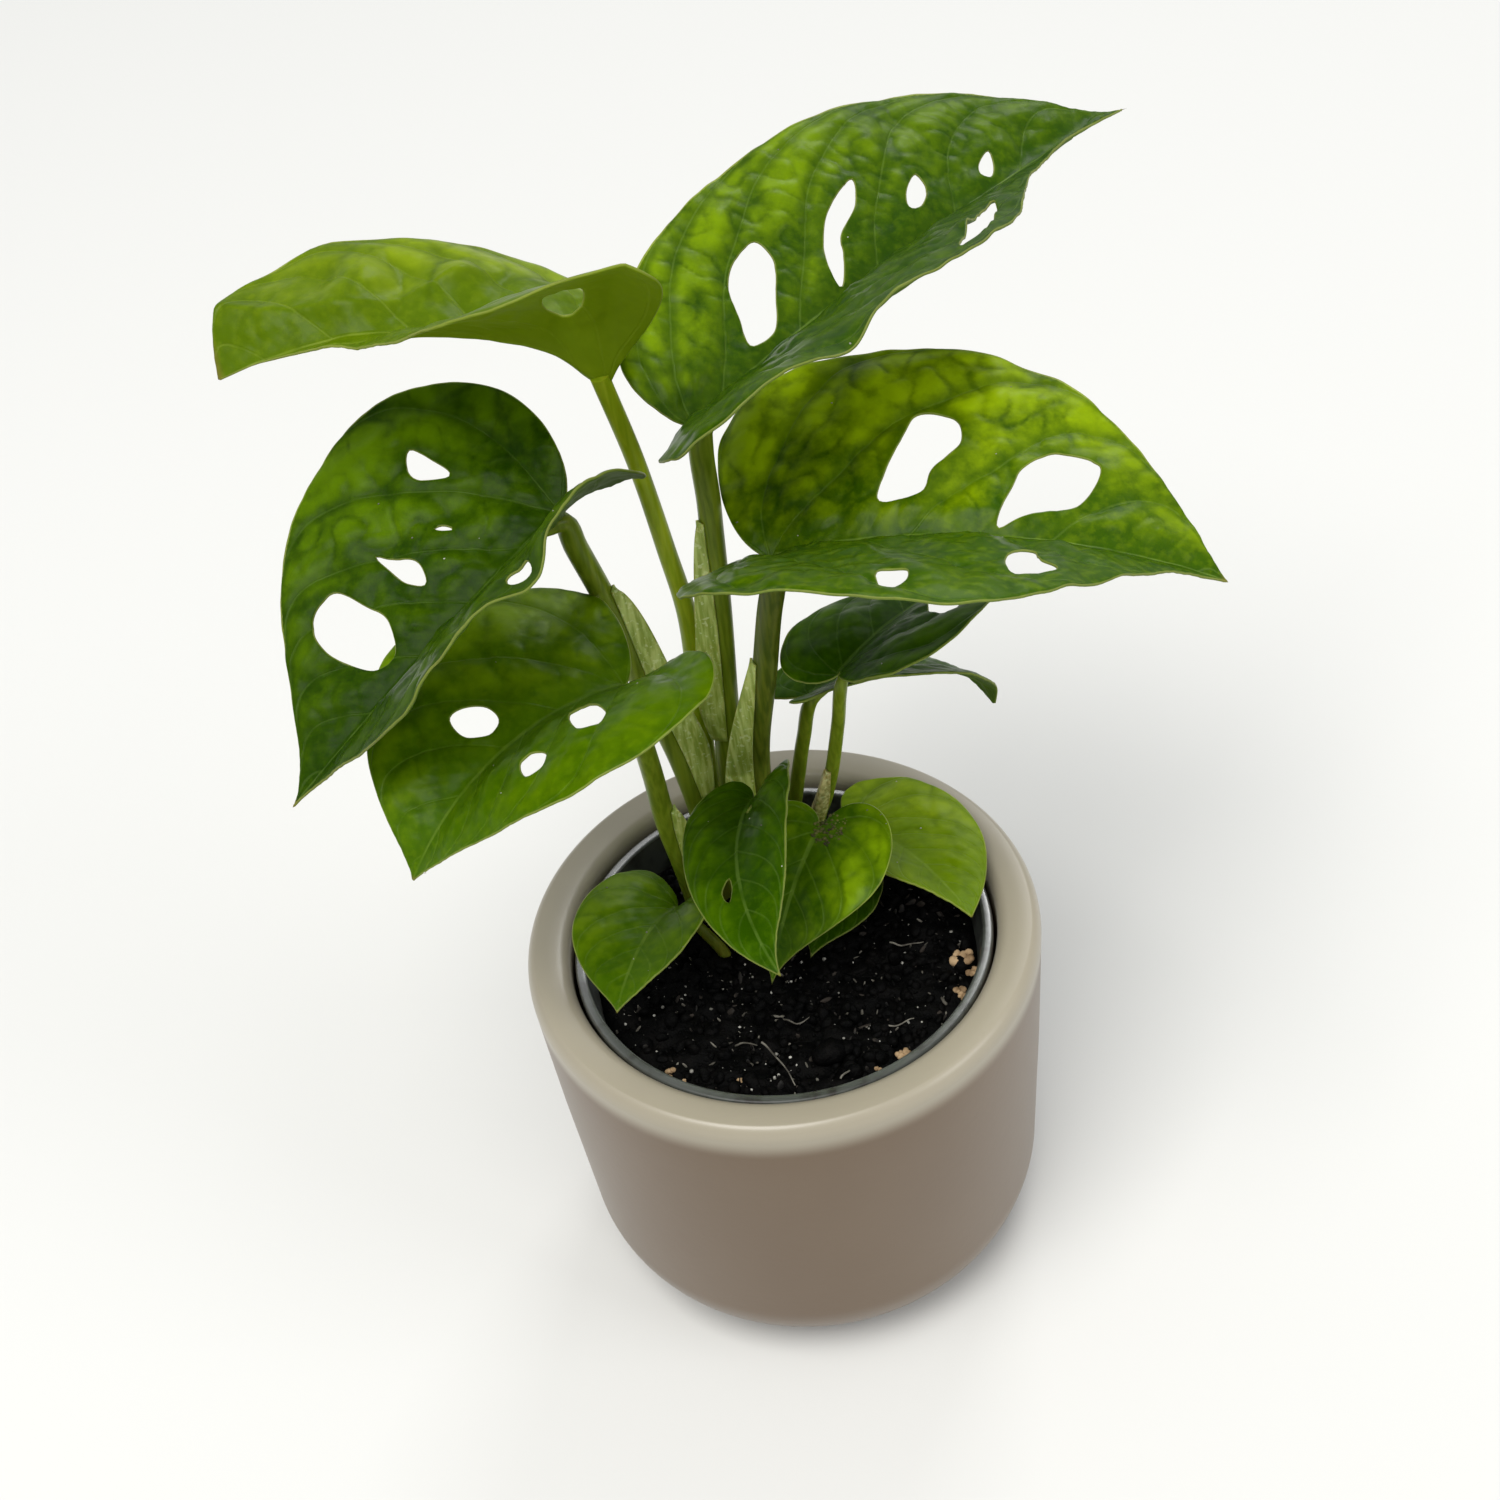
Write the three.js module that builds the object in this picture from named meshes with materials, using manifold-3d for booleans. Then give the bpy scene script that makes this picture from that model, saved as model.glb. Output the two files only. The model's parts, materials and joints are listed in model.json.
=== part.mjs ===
// A young swiss cheese vine in its clear nursery pot, standing in a round-bottomed ceramic cup.
// Millimetres and degrees, +Z up. The origin is the middle of the cup's underside.
import * as THREE from "three";
import { mergeVertices } from "three/addons/utils/BufferGeometryUtils.js";
import Module from "manifold-3d";

const wasm = await Module();
wasm.setup();

// Driving dimensions of the cup: a shallow taper above a wide rounded corner, and a lip that is rounded
// more outside than inside, where it also lies lower by innerLipFall.
const cup = {
  height: 66,
  rimRadius: 40,
  wallRadiusAtBase: 37.5,
  cornerReach: 17.5,
  cornerHeight: 16,
  boreRadius: 33.3,
  boreCornerRadius: 12,
  floor: 6,
  lipDepth: 2.6,
  outerLipRound: 1.8,
  innerLipRound: 2.4,
  innerLipFall: 0.6,
};

// Sides of the turned pieces.
const cupSides = 44;
const nurserySides = 40;

// The nursery pot: thin clear plastic with a rolled rim and a drain hole.
const nursery = {
  top: 63.3,
  rimRadius: 32.7,
  rimHeight: 2.6,
  rimWidth: 1.7,
  rimBevel: 0.45,
  wallRadiusAtTop: 31.6,
  footRadius: 23,
  footBevel: 1,
  wall: 0.9,
  drainRadius: 3,
};

// Clearance between pieces that touch on the real plant.
const clearance = 0.3;

// The soil's crumbly top, from its edge in to its middle, and the plain holes that the stalks stand in.
const soil = {
  top: 58,
  crumb: 0.55,
  edgeDepth: 1.5,
  ringShares: [1, 0.86, 0.7, 0.54, 0.38, 0.2],
  stemHoleDepth: 6,
  stemHoleSlack: 0.45,
  stemHoleSides: 10,
};

// Half the thickness of a blade, which is a little more along the midrib, and how many rows and columns
// of faces each half has. A leaf shorter than bigLeaf has fewer.
const blade = {
  halfThickness: 0.34,
  midribThickening: 1.25,
  bigLeaf: 38,
  fanRows: 3,
  rows: 12,
  smallRows: 8,
  columns: 4,
  smallColumns: 3,
};

// Where the veins end on the margin: the first on the back of the lobe and the last of those that fan out
// of the junction on the shoulder, as shares of those stretches, and the share of the other veins that
// end before the widest place. Their roots lie slightly closer together near the junction.
const veins = { first: 0.35, lastOfFan: 0.65, beforeWidest: 0.25, crowding: 1.1 };

const stalkSides = 8;
const midribSteps = 40;

// Each leaf is measured from its junction, where the stalk meets the blade.
// heading, rise: compass direction and slope of the midrib there. droop, swing: how much the slope
// and the direction change by the tip. bank, twist: roll of the blade at the junction and its change.
// A half is given by its width, how far its lobe reaches back and at what share of the width, the share
// of the length where it is widest, how full its shoulder is and how long and wide its drawn-out point is.
// fold is the upward angle of the half at the junction and at the tip, curl its bend out to the margin,
// and lift how much the back of the lobe rises 10 mm behind the junction.
const leaves = {
  top_right: {
    junction: [-0.5, 14.8, 148.7],
    heading: 39, rise: 10, droop: -12, swing: -2, bank: -2, twist: 2,
    length: 91,
    left: {
      width: 27, lobe: 3.5, lobeAt: 0.25, widest: 0.42, shoulder: 0.75, point: 0.25, pointWidth: 0.05,
      fold: [34, 24], curl: -9, lift: 1,
    },
    right: {
      width: 29.5, lobe: 14, lobeAt: 0.7, widest: 0.15, shoulder: 0.65, point: 0.6, pointWidth: -0.05,
      fold: [45, 25], curl: -16, lift: -1,
    },
    holes: [
      [[26, 14.5], [26, 11], [21.5, 6], [17.5, 2.5], [13.5, 3], [15.5, 7], [18, 11.5], [21.5, 14]],
      [[44.5, 13.5], [41.5, 10], [36, 7.5], [34, 5], [30, 1.5], [31, 5], [36, 10.5], [40, 12.5]],
      [[52.5, 8.5], [52.5, 7], [51, 5], [48.5, 4], [47.5, 5], [49, 7]],
      [[65, 5.5], [64, 3.5], [62, 2], [61, 3], [62, 4.5]],
      [[32, -25], [34.5, -22.5], [39, -19], [44.5, -15], [48.5, -13.5], [43, -19.5], [37.5, -23.5]],
    ],
    stalk: {
      footRadius: 2.6, topRadius: 1.7,
      route: [[-3.5, 21.5, 58], [-4, 20.2, 77], [-3.3, 19, 92], [-1.7, 17.6, 115], [-0.8, 16.4, 133.5]],
    },
  },
  right: {
    junction: [7, 6.5, 131],
    heading: -11, rise: 12, droop: -33, swing: -7, bank: 0, twist: -2,
    length: 61,
    left: {
      width: 33, lobe: 7.5, lobeAt: 0.5, widest: 0.35, shoulder: 0.55, point: 0.15, pointWidth: 0.15,
      fold: [31, 18], curl: -18, lift: 0,
    },
    right: {
      width: 32.5, lobe: 10, lobeAt: 0.45, widest: 0.25, shoulder: 0.55, point: 0.3, pointWidth: 0.05,
      fold: [37, 21], curl: -16, lift: -1,
    },
    holes: [
      [[19, 19.5], [23.5, 19], [24.5, 14.5], [21, 9.5], [20, 6.5], [14.5, 5.5], [15.5, 10.5], [17.5, 16]],
      [[36.5, 14.5], [42, 13.5], [41.5, 9], [39.5, 6], [33.5, 3.5], [30, 1.5], [31.5, 8], [32.5, 11]],
      [[17, -25.5], [17.5, -22.5], [20, -23], [20.5, -26], [18.5, -29]],
      [[31.5, -14], [33, -10.5], [34.5, -9.5], [35.5, -13], [37.5, -16.5], [35, -18.5], [32.5, -19.5]],
    ],
    stalk: {
      footRadius: 2.3, topRadius: 1.8,
      route: [[0.5, 15.5, 58], [0, 14.5, 72], [0.5, 12, 91], [3.3, 9.8, 108], [5.7, 7.7, 123]],
    },
  },
  top_left: {
    junction: [-10.9, 14.4, 161],
    heading: 170, rise: 24, droop: -44, swing: 6, bank: 18, twist: -45,
    length: 52,
    left: {
      width: 23.5, lobe: 3, lobeAt: 0.5, widest: 0.05, shoulder: 0.45, point: 0.7, pointWidth: -0.05,
      fold: [64, 4], curl: -35, lift: 2,
    },
    right: {
      width: 21, lobe: 3.5, lobeAt: 0.6, widest: 0.2, shoulder: 0.98, point: 0, pointWidth: 0.3,
      fold: [22, 11], curl: -28, lift: 1,
    },
    holes: [[[8, 13.5], [5.2, 14.5], [4.5, 9.5], [6.5, 5.5], [8.3, 8]]],
    stalk: {
      footRadius: 2, topRadius: 1.5,
      route: [
        [-9.5, 22.5, 58], [-8, 23, 74], [-7.3, 21.6, 91], [-6.5, 20.2, 112], [-8.2, 18.4, 126.5],
        [-10.5, 16.2, 144.5],
      ],
    },
  },
  left: {
    junction: [-21, 13, 139],
    heading: 214, rise: -21, droop: -6, swing: -1, bank: 1, twist: 1,
    length: 53,
    left: {
      width: 34, lobe: 8, lobeAt: 0.4, widest: 0.2, shoulder: 0.55, point: 0.35, pointWidth: 0,
      fold: [22, 27], curl: 35, lift: -4,
    },
    right: {
      width: 33, lobe: 8.5, lobeAt: 0.42, widest: 0.2, shoulder: 0.55, point: 0.25, pointWidth: 0.15,
      fold: [24, 23], curl: -8, lift: 2,
    },
    holes: [
      [[6.5, -22.5], [5.5, -19], [5.5, -15.5], [7, -16.5], [9, -19], [8.5, -21]],
      [[20.5, -15.5], [19.5, -13.5], [17.5, -10], [19, -7], [20.5, -9], [20.7, -12.5]],
      [[28, -16.5], [26.5, -11.5], [26, -7.5], [29, -3.5], [32, -4], [33.5, -7], [34.5, -11.5], [32.5, -16]],
    ],
    stalk: {
      footRadius: 2.5, topRadius: 1.7,
      route: [
        [-8.5, 15, 58], [-9, 15, 74], [-11, 15.3, 89], [-14.4, 16, 104], [-17.4, 16, 120.5],
        [-19.8, 14.3, 132],
      ],
    },
  },
  lower_left: {
    junction: [-16.3, -3, 120.6],
    heading: 205, rise: 12, droop: -61, swing: 13, bank: 7, twist: -5,
    length: 40,
    left: {
      width: 25, lobe: 7, lobeAt: 0.45, widest: 0.2, shoulder: 0.35, point: 0.2, pointWidth: 0.15,
      fold: [32, 15], curl: -27, lift: 6,
    },
    right: {
      width: 25.5, lobe: 5, lobeAt: 0.55, widest: 0.35, shoulder: 0.55, point: 0.2, pointWidth: 0.15,
      fold: [24, 28], curl: -18, lift: 3,
    },
    holes: [
      [[20.5, -9], [18.5, -8.7], [16.5, -6.5], [16.5, -4], [18.5, -3.3], [21, -5.5]],
      [[9, 4], [7, 6], [7.5, 12], [9, 14], [11, 13], [11, 9]],
      [[18.5, 7.5], [16.7, 8], [16, 10.5], [17.7, 11.8], [19.5, 11.3]],
    ],
    stalk: {
      footRadius: 1.9, topRadius: 1.5,
      route: [[-12.5, 11.5, 58], [-13.5, 9, 72], [-14.7, 6.2, 85], [-15.1, 3.2, 99], [-15.7, -0.6, 111.5]],
    },
  },
  small_right: {
    junction: [13.9, 4.2, 110.8],
    heading: 45, rise: 8, droop: -43, swing: -3, bank: -13, twist: -1,
    length: 40,
    left: {
      width: 12.5, lobe: 4.5, lobeAt: 0.4, widest: 0.2, shoulder: 0.45, point: 0.3, pointWidth: 0.1,
      fold: [15, 5], curl: -16, lift: 0,
    },
    right: {
      width: 17, lobe: 2.5, lobeAt: 0.4, widest: 0.2, shoulder: 0.45, point: 0.3, pointWidth: 0.1,
      fold: [23, 10], curl: -15, lift: 1,
    },
    holes: [[[20, -1.5], [22.5, -2], [21.5, -5.5], [17.5, -8.5], [15.7, -8.3], [16.5, -5.5]]],
    stalk: {
      footRadius: 1.3, topRadius: 1,
      route: [[7.2, 20.5, 58], [8.7, 19, 68], [10.2, 14.8, 77], [11.5, 10.5, 87], [12.9, 7.5, 98.3]],
    },
  },
  small_back: {
    junction: [9.6, 14.3, 99],
    heading: 16, rise: 8, droop: -64, swing: 0, bank: -22, twist: 0,
    length: 35,
    left: {
      width: 11.5, lobe: 6, lobeAt: 0.45, widest: 0.2, shoulder: 0.45, point: 0.3, pointWidth: 0.1,
      fold: [15, 6], curl: -10, lift: 1,
    },
    right: {
      width: 9.5, lobe: 4, lobeAt: 0.45, widest: 0.2, shoulder: 0.45, point: 0.3, pointWidth: 0.1,
      fold: [17, 2], curl: -8, lift: 1,
    },
    holes: [],
    stalk: {
      footRadius: 1.3, topRadius: 1.1,
      route: [[3.3, 22.5, 58], [5.8, 20, 74], [8, 17, 88]],
    },
  },
  centre: {
    junction: [-1, 4.5, 88.4],
    heading: 246, rise: 14, droop: -27, swing: 48, bank: 16, twist: 1,
    length: 37,
    left: {
      width: 11, lobe: 4, lobeAt: 0.45, widest: 0.25, shoulder: 0.6, point: 0.25, pointWidth: 0.1,
      fold: [38, 21], curl: -11, lift: 0,
    },
    right: {
      width: 8.5, lobe: 3.5, lobeAt: 0.45, widest: 0.2, shoulder: 0.6, point: 0.1, pointWidth: 0.15,
      fold: [22, 15], curl: -13, lift: 2,
    },
    holes: [
      [[4, 0.8], [5.5, 1.2], [6, 2.4], [4.6, 2.2]],
      [[18.5, -1.5], [20.5, -1.4], [22.8, -2.2], [21, -2.8]],
    ],
    stalk: {
      footRadius: 1.2, topRadius: 0.9,
      route: [[-5.5, 8.5, 58], [-6, 6.5, 71], [-4.3, 5, 82]],
    },
  },
  heart: {
    junction: [8.4, 6.5, 78.5],
    heading: 235, rise: -11, droop: -46, swing: 6, bank: -2, twist: 1,
    length: 26,
    left: {
      width: 13.5, lobe: 5.5, lobeAt: 0.4, widest: 0.2, shoulder: 0.4, point: 0.35, pointWidth: 0.1,
      fold: [15, 13], curl: -14, lift: 2,
    },
    right: {
      width: 10, lobe: 2.5, lobeAt: 0.4, widest: 0.2, shoulder: 0.45, point: 0.3, pointWidth: 0.1,
      fold: [19, 12], curl: -12, lift: 1,
    },
    holes: [],
    stalk: {
      footRadius: 1.1, topRadius: 0.8,
      route: [[1.5, 9.5, 58], [1.8, 9, 68], [4.5, 7.6, 74]],
    },
  },
  round_right: {
    junction: [14.6, 17.3, 66.7],
    heading: 308, rise: 14, droop: -17, swing: -20, bank: -10, twist: -8,
    length: 30,
    left: {
      width: 14, lobe: 7.5, lobeAt: 0.4, widest: 0.25, shoulder: 0.5, point: 0.1, pointWidth: 0.15,
      fold: [20, 8], curl: -13, lift: 1,
    },
    right: {
      width: 12, lobe: 3, lobeAt: 0.45, widest: 0.2, shoulder: 0.45, point: 0.2, pointWidth: 0.1,
      fold: [19, 13], curl: -13, lift: 1,
    },
    holes: [],
    stalk: {
      footRadius: 1.1, topRadius: 0.8,
      route: [[9.5, 15.5, 58], [10.8, 16.6, 62], [13.2, 17.3, 64.8]],
    },
  },
  round_left: {
    junction: [-16, 4, 68.5],
    heading: 236, rise: 22, droop: -41, swing: 15, bank: 6, twist: 3,
    length: 23,
    left: {
      width: 10, lobe: 4, lobeAt: 0.5, widest: 0.25, shoulder: 0.55, point: 0.2, pointWidth: 0.15,
      fold: [29, 12], curl: -9, lift: 1,
    },
    right: {
      width: 12, lobe: 4, lobeAt: 0.5, widest: 0.3, shoulder: 0.6, point: 0.2, pointWidth: 0.15,
      fold: [29, 10], curl: -12, lift: 2,
    },
    holes: [],
    stalk: {
      footRadius: 1.1, topRadius: 0.8,
      route: [[-9.4, 2, 58], [-11.6, 2.6, 62.5], [-14.3, 3.6, 66.5]],
    },
  },
  low: {
    junction: [11.6, 7, 65.8],
    heading: 236, rise: -2, droop: -20, swing: 4, bank: 0, twist: 0,
    length: 15.5,
    left: {
      width: 7, lobe: 3, lobeAt: 0.45, widest: 0.25, shoulder: 0.45, point: 0.3, pointWidth: 0.1,
      fold: [14, 8], curl: -12, lift: 0,
    },
    right: {
      width: 7, lobe: 3.5, lobeAt: 0.45, widest: 0.25, shoulder: 0.45, point: 0.3, pointWidth: 0.1,
      fold: [14, 8], curl: -12, lift: 0,
    },
    holes: [],
    stalk: {
      footRadius: 1, topRadius: 0.7,
      route: [[11.5, 9.5, 58], [12, 8.4, 62]],
    },
  },
};

// Pale sheaths left by older leaves. Each is a wing that stands on one side of a stalk: facing is the
// compass direction it points in, span its lowest and highest heights, reach the half angle its foot
// covers, and breadth how far it stands out near its foot and near its tip.
const sheathSteps = 9;
const sheathSkin = 0.6;
const sheathArc = [-1, -0.5, 0, 0.5, 1];

const sheaths = {
  top_right: { stalk: "top_right", facing: 212, span: [90, 132], reach: 52, breadth: [3.2, 1.5] },
  right: { stalk: "right", facing: 194, span: [78, 111], reach: 58, breadth: [3.6, 0.8] },
  left: { stalk: "left", facing: -14, span: [82, 123], reach: 52, breadth: [3, 2.6] },
  lower_left: { stalk: "lower_left", facing: -20, span: [66, 89], reach: 55, breadth: [2.8, 1.6] },
};

const radians = THREE.MathUtils.degToRad;
const lerp = THREE.MathUtils.lerp;
const clamp = THREE.MathUtils.clamp;

// A closed mesh from points and faces given by index, with equal points merged and flat faces dropped.
function closedGeometry(points, faces) {
  const loose = new THREE.BufferGeometry();
  loose.setAttribute("position", new THREE.Float32BufferAttribute(points.flatMap((p) => [p.x, p.y, p.z]), 3));
  loose.setIndex(faces.flat());
  const merged = mergeVertices(loose, 1e-4);
  const kept = [];
  const index = merged.index.array;
  for (let i = 0; i < index.length; i += 3) {
    const [a, b, c] = [index[i], index[i + 1], index[i + 2]];
    if (a !== b && b !== c && c !== a) kept.push(a, b, c);
  }
  merged.setIndex(kept);
  return merged;
}

// A geometry as a solid that can be cut and joined, turned outwards if its faces point in.
function solidFrom(geometry) {
  const bare = geometry.clone();
  bare.deleteAttribute("normal");
  bare.deleteAttribute("uv");
  const merged = mergeVertices(bare, 1e-4);
  const vertProperties = merged.attributes.position.array;
  const make = (triVerts) => new wasm.Manifold(new wasm.Mesh({ numProp: 3, vertProperties, triVerts }));
  const order = new Uint32Array(merged.index.array);
  const made = make(order);
  if (made.volume() > 0) return made;
  for (let i = 0; i < order.length; i += 3) [order[i + 1], order[i + 2]] = [order[i + 2], order[i + 1]];
  return make(order);
}

function geometryFrom(solid) {
  const mesh = solid.getMesh();
  const geometry = new THREE.BufferGeometry();
  geometry.setAttribute("position", new THREE.BufferAttribute(new Float32Array(mesh.vertProperties), 3));
  geometry.setIndex(new THREE.BufferAttribute(new Uint32Array(mesh.triVerts), 1));
  return geometry;
}

function largestPiece(solid) {
  return solid.decompose().reduce((a, b) => (b.volume() > a.volume() ? b : a));
}

// A solid through rings of equally many points, closed at both ends by a fan round the ring's middle.
function ringSolid(rings) {
  const count = rings[0].length;
  const points = rings.flat();
  const faces = [];
  for (let r = 0; r + 1 < rings.length; r += 1) {
    for (let k = 0; k < count; k += 1) {
      const next = (k + 1) % count;
      const [a, b] = [r * count + k, r * count + next];
      faces.push([a, b, b + count], [a, b + count, a + count]);
    }
  }
  const ends = [[0, true], [(rings.length - 1) * count, false]];
  for (const [start, first] of ends) {
    const middle = points.length;
    const sum = new THREE.Vector3();
    for (let k = 0; k < count; k += 1) sum.add(points[start + k]);
    points.push(sum.divideScalar(count));
    for (let k = 0; k < count; k += 1) {
      const [a, b] = [start + k, start + ((k + 1) % count)];
      faces.push(first ? [middle, b, a] : [middle, a, b]);
    }
  }
  return solidFrom(closedGeometry(points, faces));
}

// A solid turned round the upright axis from a profile of [radius, height] points.
function turned(profile, sides) {
  const made = new THREE.LatheGeometry(profile.map(([r, z]) => new THREE.Vector2(r, z)), sides);
  return solidFrom(made.rotateX(Math.PI / 2));
}

// Points of an elliptic arc between two angles, as part of such a profile.
function quarterArc(centre, reach, height, from, to, steps) {
  const points = [];
  for (let i = 0; i <= steps; i += 1) {
    const angle = radians(lerp(from, to, i / steps));
    points.push([centre[0] + reach * Math.cos(angle), centre[1] + height * Math.sin(angle)]);
  }
  return points;
}

function makeCup() {
  const share = cup.cornerHeight / cup.height;
  const corner = [lerp(cup.wallRadiusAtBase, cup.rimRadius, share) - cup.cornerReach, cup.cornerHeight];
  const lip = cup.height - cup.lipDepth;
  const outerLip = [cup.rimRadius - cup.outerLipRound, lip];
  const innerLip = [cup.boreRadius + cup.innerLipRound, lip];
  const boreCorner = [cup.boreRadius - cup.boreCornerRadius, cup.floor + cup.boreCornerRadius];
  const profile = [
    [0, 0],
    ...quarterArc(corner, cup.cornerReach, cup.cornerHeight, -90, 0, 6),
    ...quarterArc(outerLip, cup.outerLipRound, cup.lipDepth, 0, 80, 3),
    ...quarterArc(innerLip, cup.innerLipRound, cup.lipDepth - cup.innerLipFall, 100, 180, 2),
    ...quarterArc(boreCorner, cup.boreCornerRadius, cup.boreCornerRadius, 0, -90, 4),
    [0, cup.floor],
  ];
  return turned(profile, cupSides);
}

const nurseryFoot = cup.floor + clearance;
const nurseryFloor = nurseryFoot + nursery.wall;

function nurseryWallAt(z) {
  const top = nursery.top - nursery.rimHeight;
  return lerp(nursery.footRadius, nursery.wallRadiusAtTop, (z - nurseryFoot) / (top - nurseryFoot));
}

function makeNurseryPot() {
  const underRim = nursery.top - nursery.rimHeight;
  const boreAtTop = nursery.rimRadius - nursery.rimWidth;
  const profile = [
    [nursery.drainRadius, nurseryFoot],
    [nursery.footRadius - nursery.footBevel, nurseryFoot],
    [nurseryWallAt(nurseryFoot + nursery.footBevel), nurseryFoot + nursery.footBevel],
    [nurseryWallAt(underRim), underRim],
    [nursery.rimRadius, underRim],
    [nursery.rimRadius, nursery.top - nursery.rimBevel],
    [nursery.rimRadius - nursery.rimBevel, nursery.top],
    [boreAtTop + nursery.rimBevel, nursery.top],
    [boreAtTop, nursery.top - nursery.rimBevel],
    [nurseryWallAt(underRim) - nursery.wall, underRim],
    [nurseryWallAt(nurseryFloor) - nursery.wall, nurseryFloor],
    [nursery.drainRadius, nurseryFloor],
    [nursery.drainRadius, nurseryFoot],
  ];
  return turned(profile, nurserySides);
}

// The height of the soil's top: a coarse swell with a finer one on it.
function crumbHeight(x, y) {
  const coarse = Math.sin(0.61 * x + 1.3) * Math.sin(0.53 * y + 0.4);
  const fine = Math.sin(1.27 * x + 0.8 * y) * Math.cos(1.13 * y - 0.7 * x);
  return soil.top + soil.crumb * (coarse + 0.6 * fine);
}

// The soil: a plug that fills the nursery pot, with a crumbly top and a plain hole for each stalk.
function makeSoil() {
  const ringAt = (radius, height) =>
    Array.from({ length: nurserySides }, (_, k) => {
      const angle = (2 * Math.PI * k) / nurserySides;
      const [x, y] = [radius * Math.cos(angle), radius * Math.sin(angle)];
      return new THREE.Vector3(x, y, height ?? crumbHeight(x, y));
    });
  const bottom = nurseryFloor + clearance;
  const radiusAt = (z) => nurseryWallAt(z) - nursery.wall - clearance;
  const rings = [
    ringAt(radiusAt(bottom), bottom),
    ringAt(radiusAt(soil.top), soil.top - soil.edgeDepth),
    ...soil.ringShares.map((share) => ringAt(share * radiusAt(soil.top))),
  ];
  let made = ringSolid(rings);
  for (const leaf of Object.values(leaves)) {
    const [x, y] = leaf.stalk.route[0];
    const radius = leaf.stalk.footRadius + soil.stemHoleSlack;
    const drill = new THREE.CylinderGeometry(radius, radius, 2 * soil.stemHoleDepth, soil.stemHoleSides);
    drill.rotateX(Math.PI / 2).translate(x, y, soil.top);
    made = made.subtract(solidFrom(drill));
  }
  return made;
}

// The margin of one half of a leaf, as [along, across] points from the sinus back round the lobe and
// out to the tip: three Bezier curves through the sinus, the lobe's back, the widest place and the tip.
function marginCurves(length, half) {
  const { width, lobe } = half;
  const widest = half.widest * length;
  const back = half.lobeAt * width;
  const v = (x, y) => new THREE.Vector2(x, y);
  return [
    new THREE.CubicBezierCurve(v(0, 0), v(-0.55 * lobe, 0.02 * width), v(-lobe, 0.45 * back), v(-lobe, back)),
    new THREE.CubicBezierCurve(
      v(-lobe, back), v(-lobe, 0.45 * back + 0.55 * width), v(widest - 0.55 * (widest + lobe), width),
      v(widest, width),
    ),
    new THREE.CubicBezierCurve(
      v(widest, width), v(lerp(widest, length, half.shoulder), width),
      v(length - half.point * (length - widest), half.pointWidth * width), v(length, 0),
    ),
  ];
}

// The midrib: points and directions in small equal steps from the junction to the tip.
function midribFrames(leaf) {
  const frames = [];
  const at = new THREE.Vector3(...leaf.junction);
  const step = leaf.length / midribSteps;
  for (let i = 0; i <= midribSteps; i += 1) {
    const u = i / midribSteps;
    const slope = radians(leaf.rise + leaf.droop * u);
    const yaw = radians(leaf.heading + leaf.swing * u);
    const roll = radians(leaf.bank + leaf.twist * u);
    const along = new THREE.Vector3(
      Math.cos(slope) * Math.cos(yaw), Math.cos(slope) * Math.sin(yaw), Math.sin(slope),
    );
    const level = new THREE.Vector3(-Math.sin(yaw), Math.cos(yaw), 0);
    const upright = along.clone().cross(level);
    const across = level.clone().multiplyScalar(Math.cos(roll)).addScaledVector(upright, Math.sin(roll));
    const up = along.clone().cross(across);
    if (i > 0) at.addScaledVector(frames[i - 1].along.clone().add(along), step / 2);
    frames.push({ at: at.clone(), along, across, up });
  }
  return frames;
}

// A point of the blade s along the midrib and t across it, t being positive on the left half.
function bladePoint(leaf, frames, s, t) {
  const half = t >= 0 ? leaf.left : leaf.right;
  const u = clamp(s / leaf.length, 0, 1);
  const place = Math.min(u * midribSteps, midribSteps - 1e-6);
  const [a, b, share] = [frames[Math.floor(place)], frames[Math.floor(place) + 1], place % 1];
  const mix = (name) => a[name].clone().lerp(b[name], share);
  const fold = radians(lerp(half.fold[0], half.fold[1], u));
  const bend = radians(half.curl) / half.width;
  const distance = Math.abs(t);
  const out = (Math.sin(fold + bend * distance) - Math.sin(fold)) / bend;
  const rise = (Math.cos(fold) - Math.cos(fold + bend * distance)) / bend;
  const lift = s < 0 ? half.lift * (s / 10) ** 2 : 0;
  return mix("at")
    .addScaledVector(mix("along"), Math.min(s, 0))
    .addScaledVector(mix("across"), Math.sign(t) * out)
    .addScaledVector(mix("up"), rise + lift);
}

// The direction that the blade's upper face looks in, averaged over both halves at the midrib.
function bladeNormal(leaf, frames, s, t) {
  const small = 0.05;
  const sides = Math.abs(t) < small ? [-small, small] : [t];
  const at = (x, y) => bladePoint(leaf, frames, x, y);
  const sum = new THREE.Vector3();
  for (const side of sides) {
    const along = at(s + small, side).sub(at(s - small, side));
    const out = at(s, side + small / 2).sub(at(s, side - small / 2));
    sum.add(along.cross(out).normalize());
  }
  return sum.normalize();
}

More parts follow.
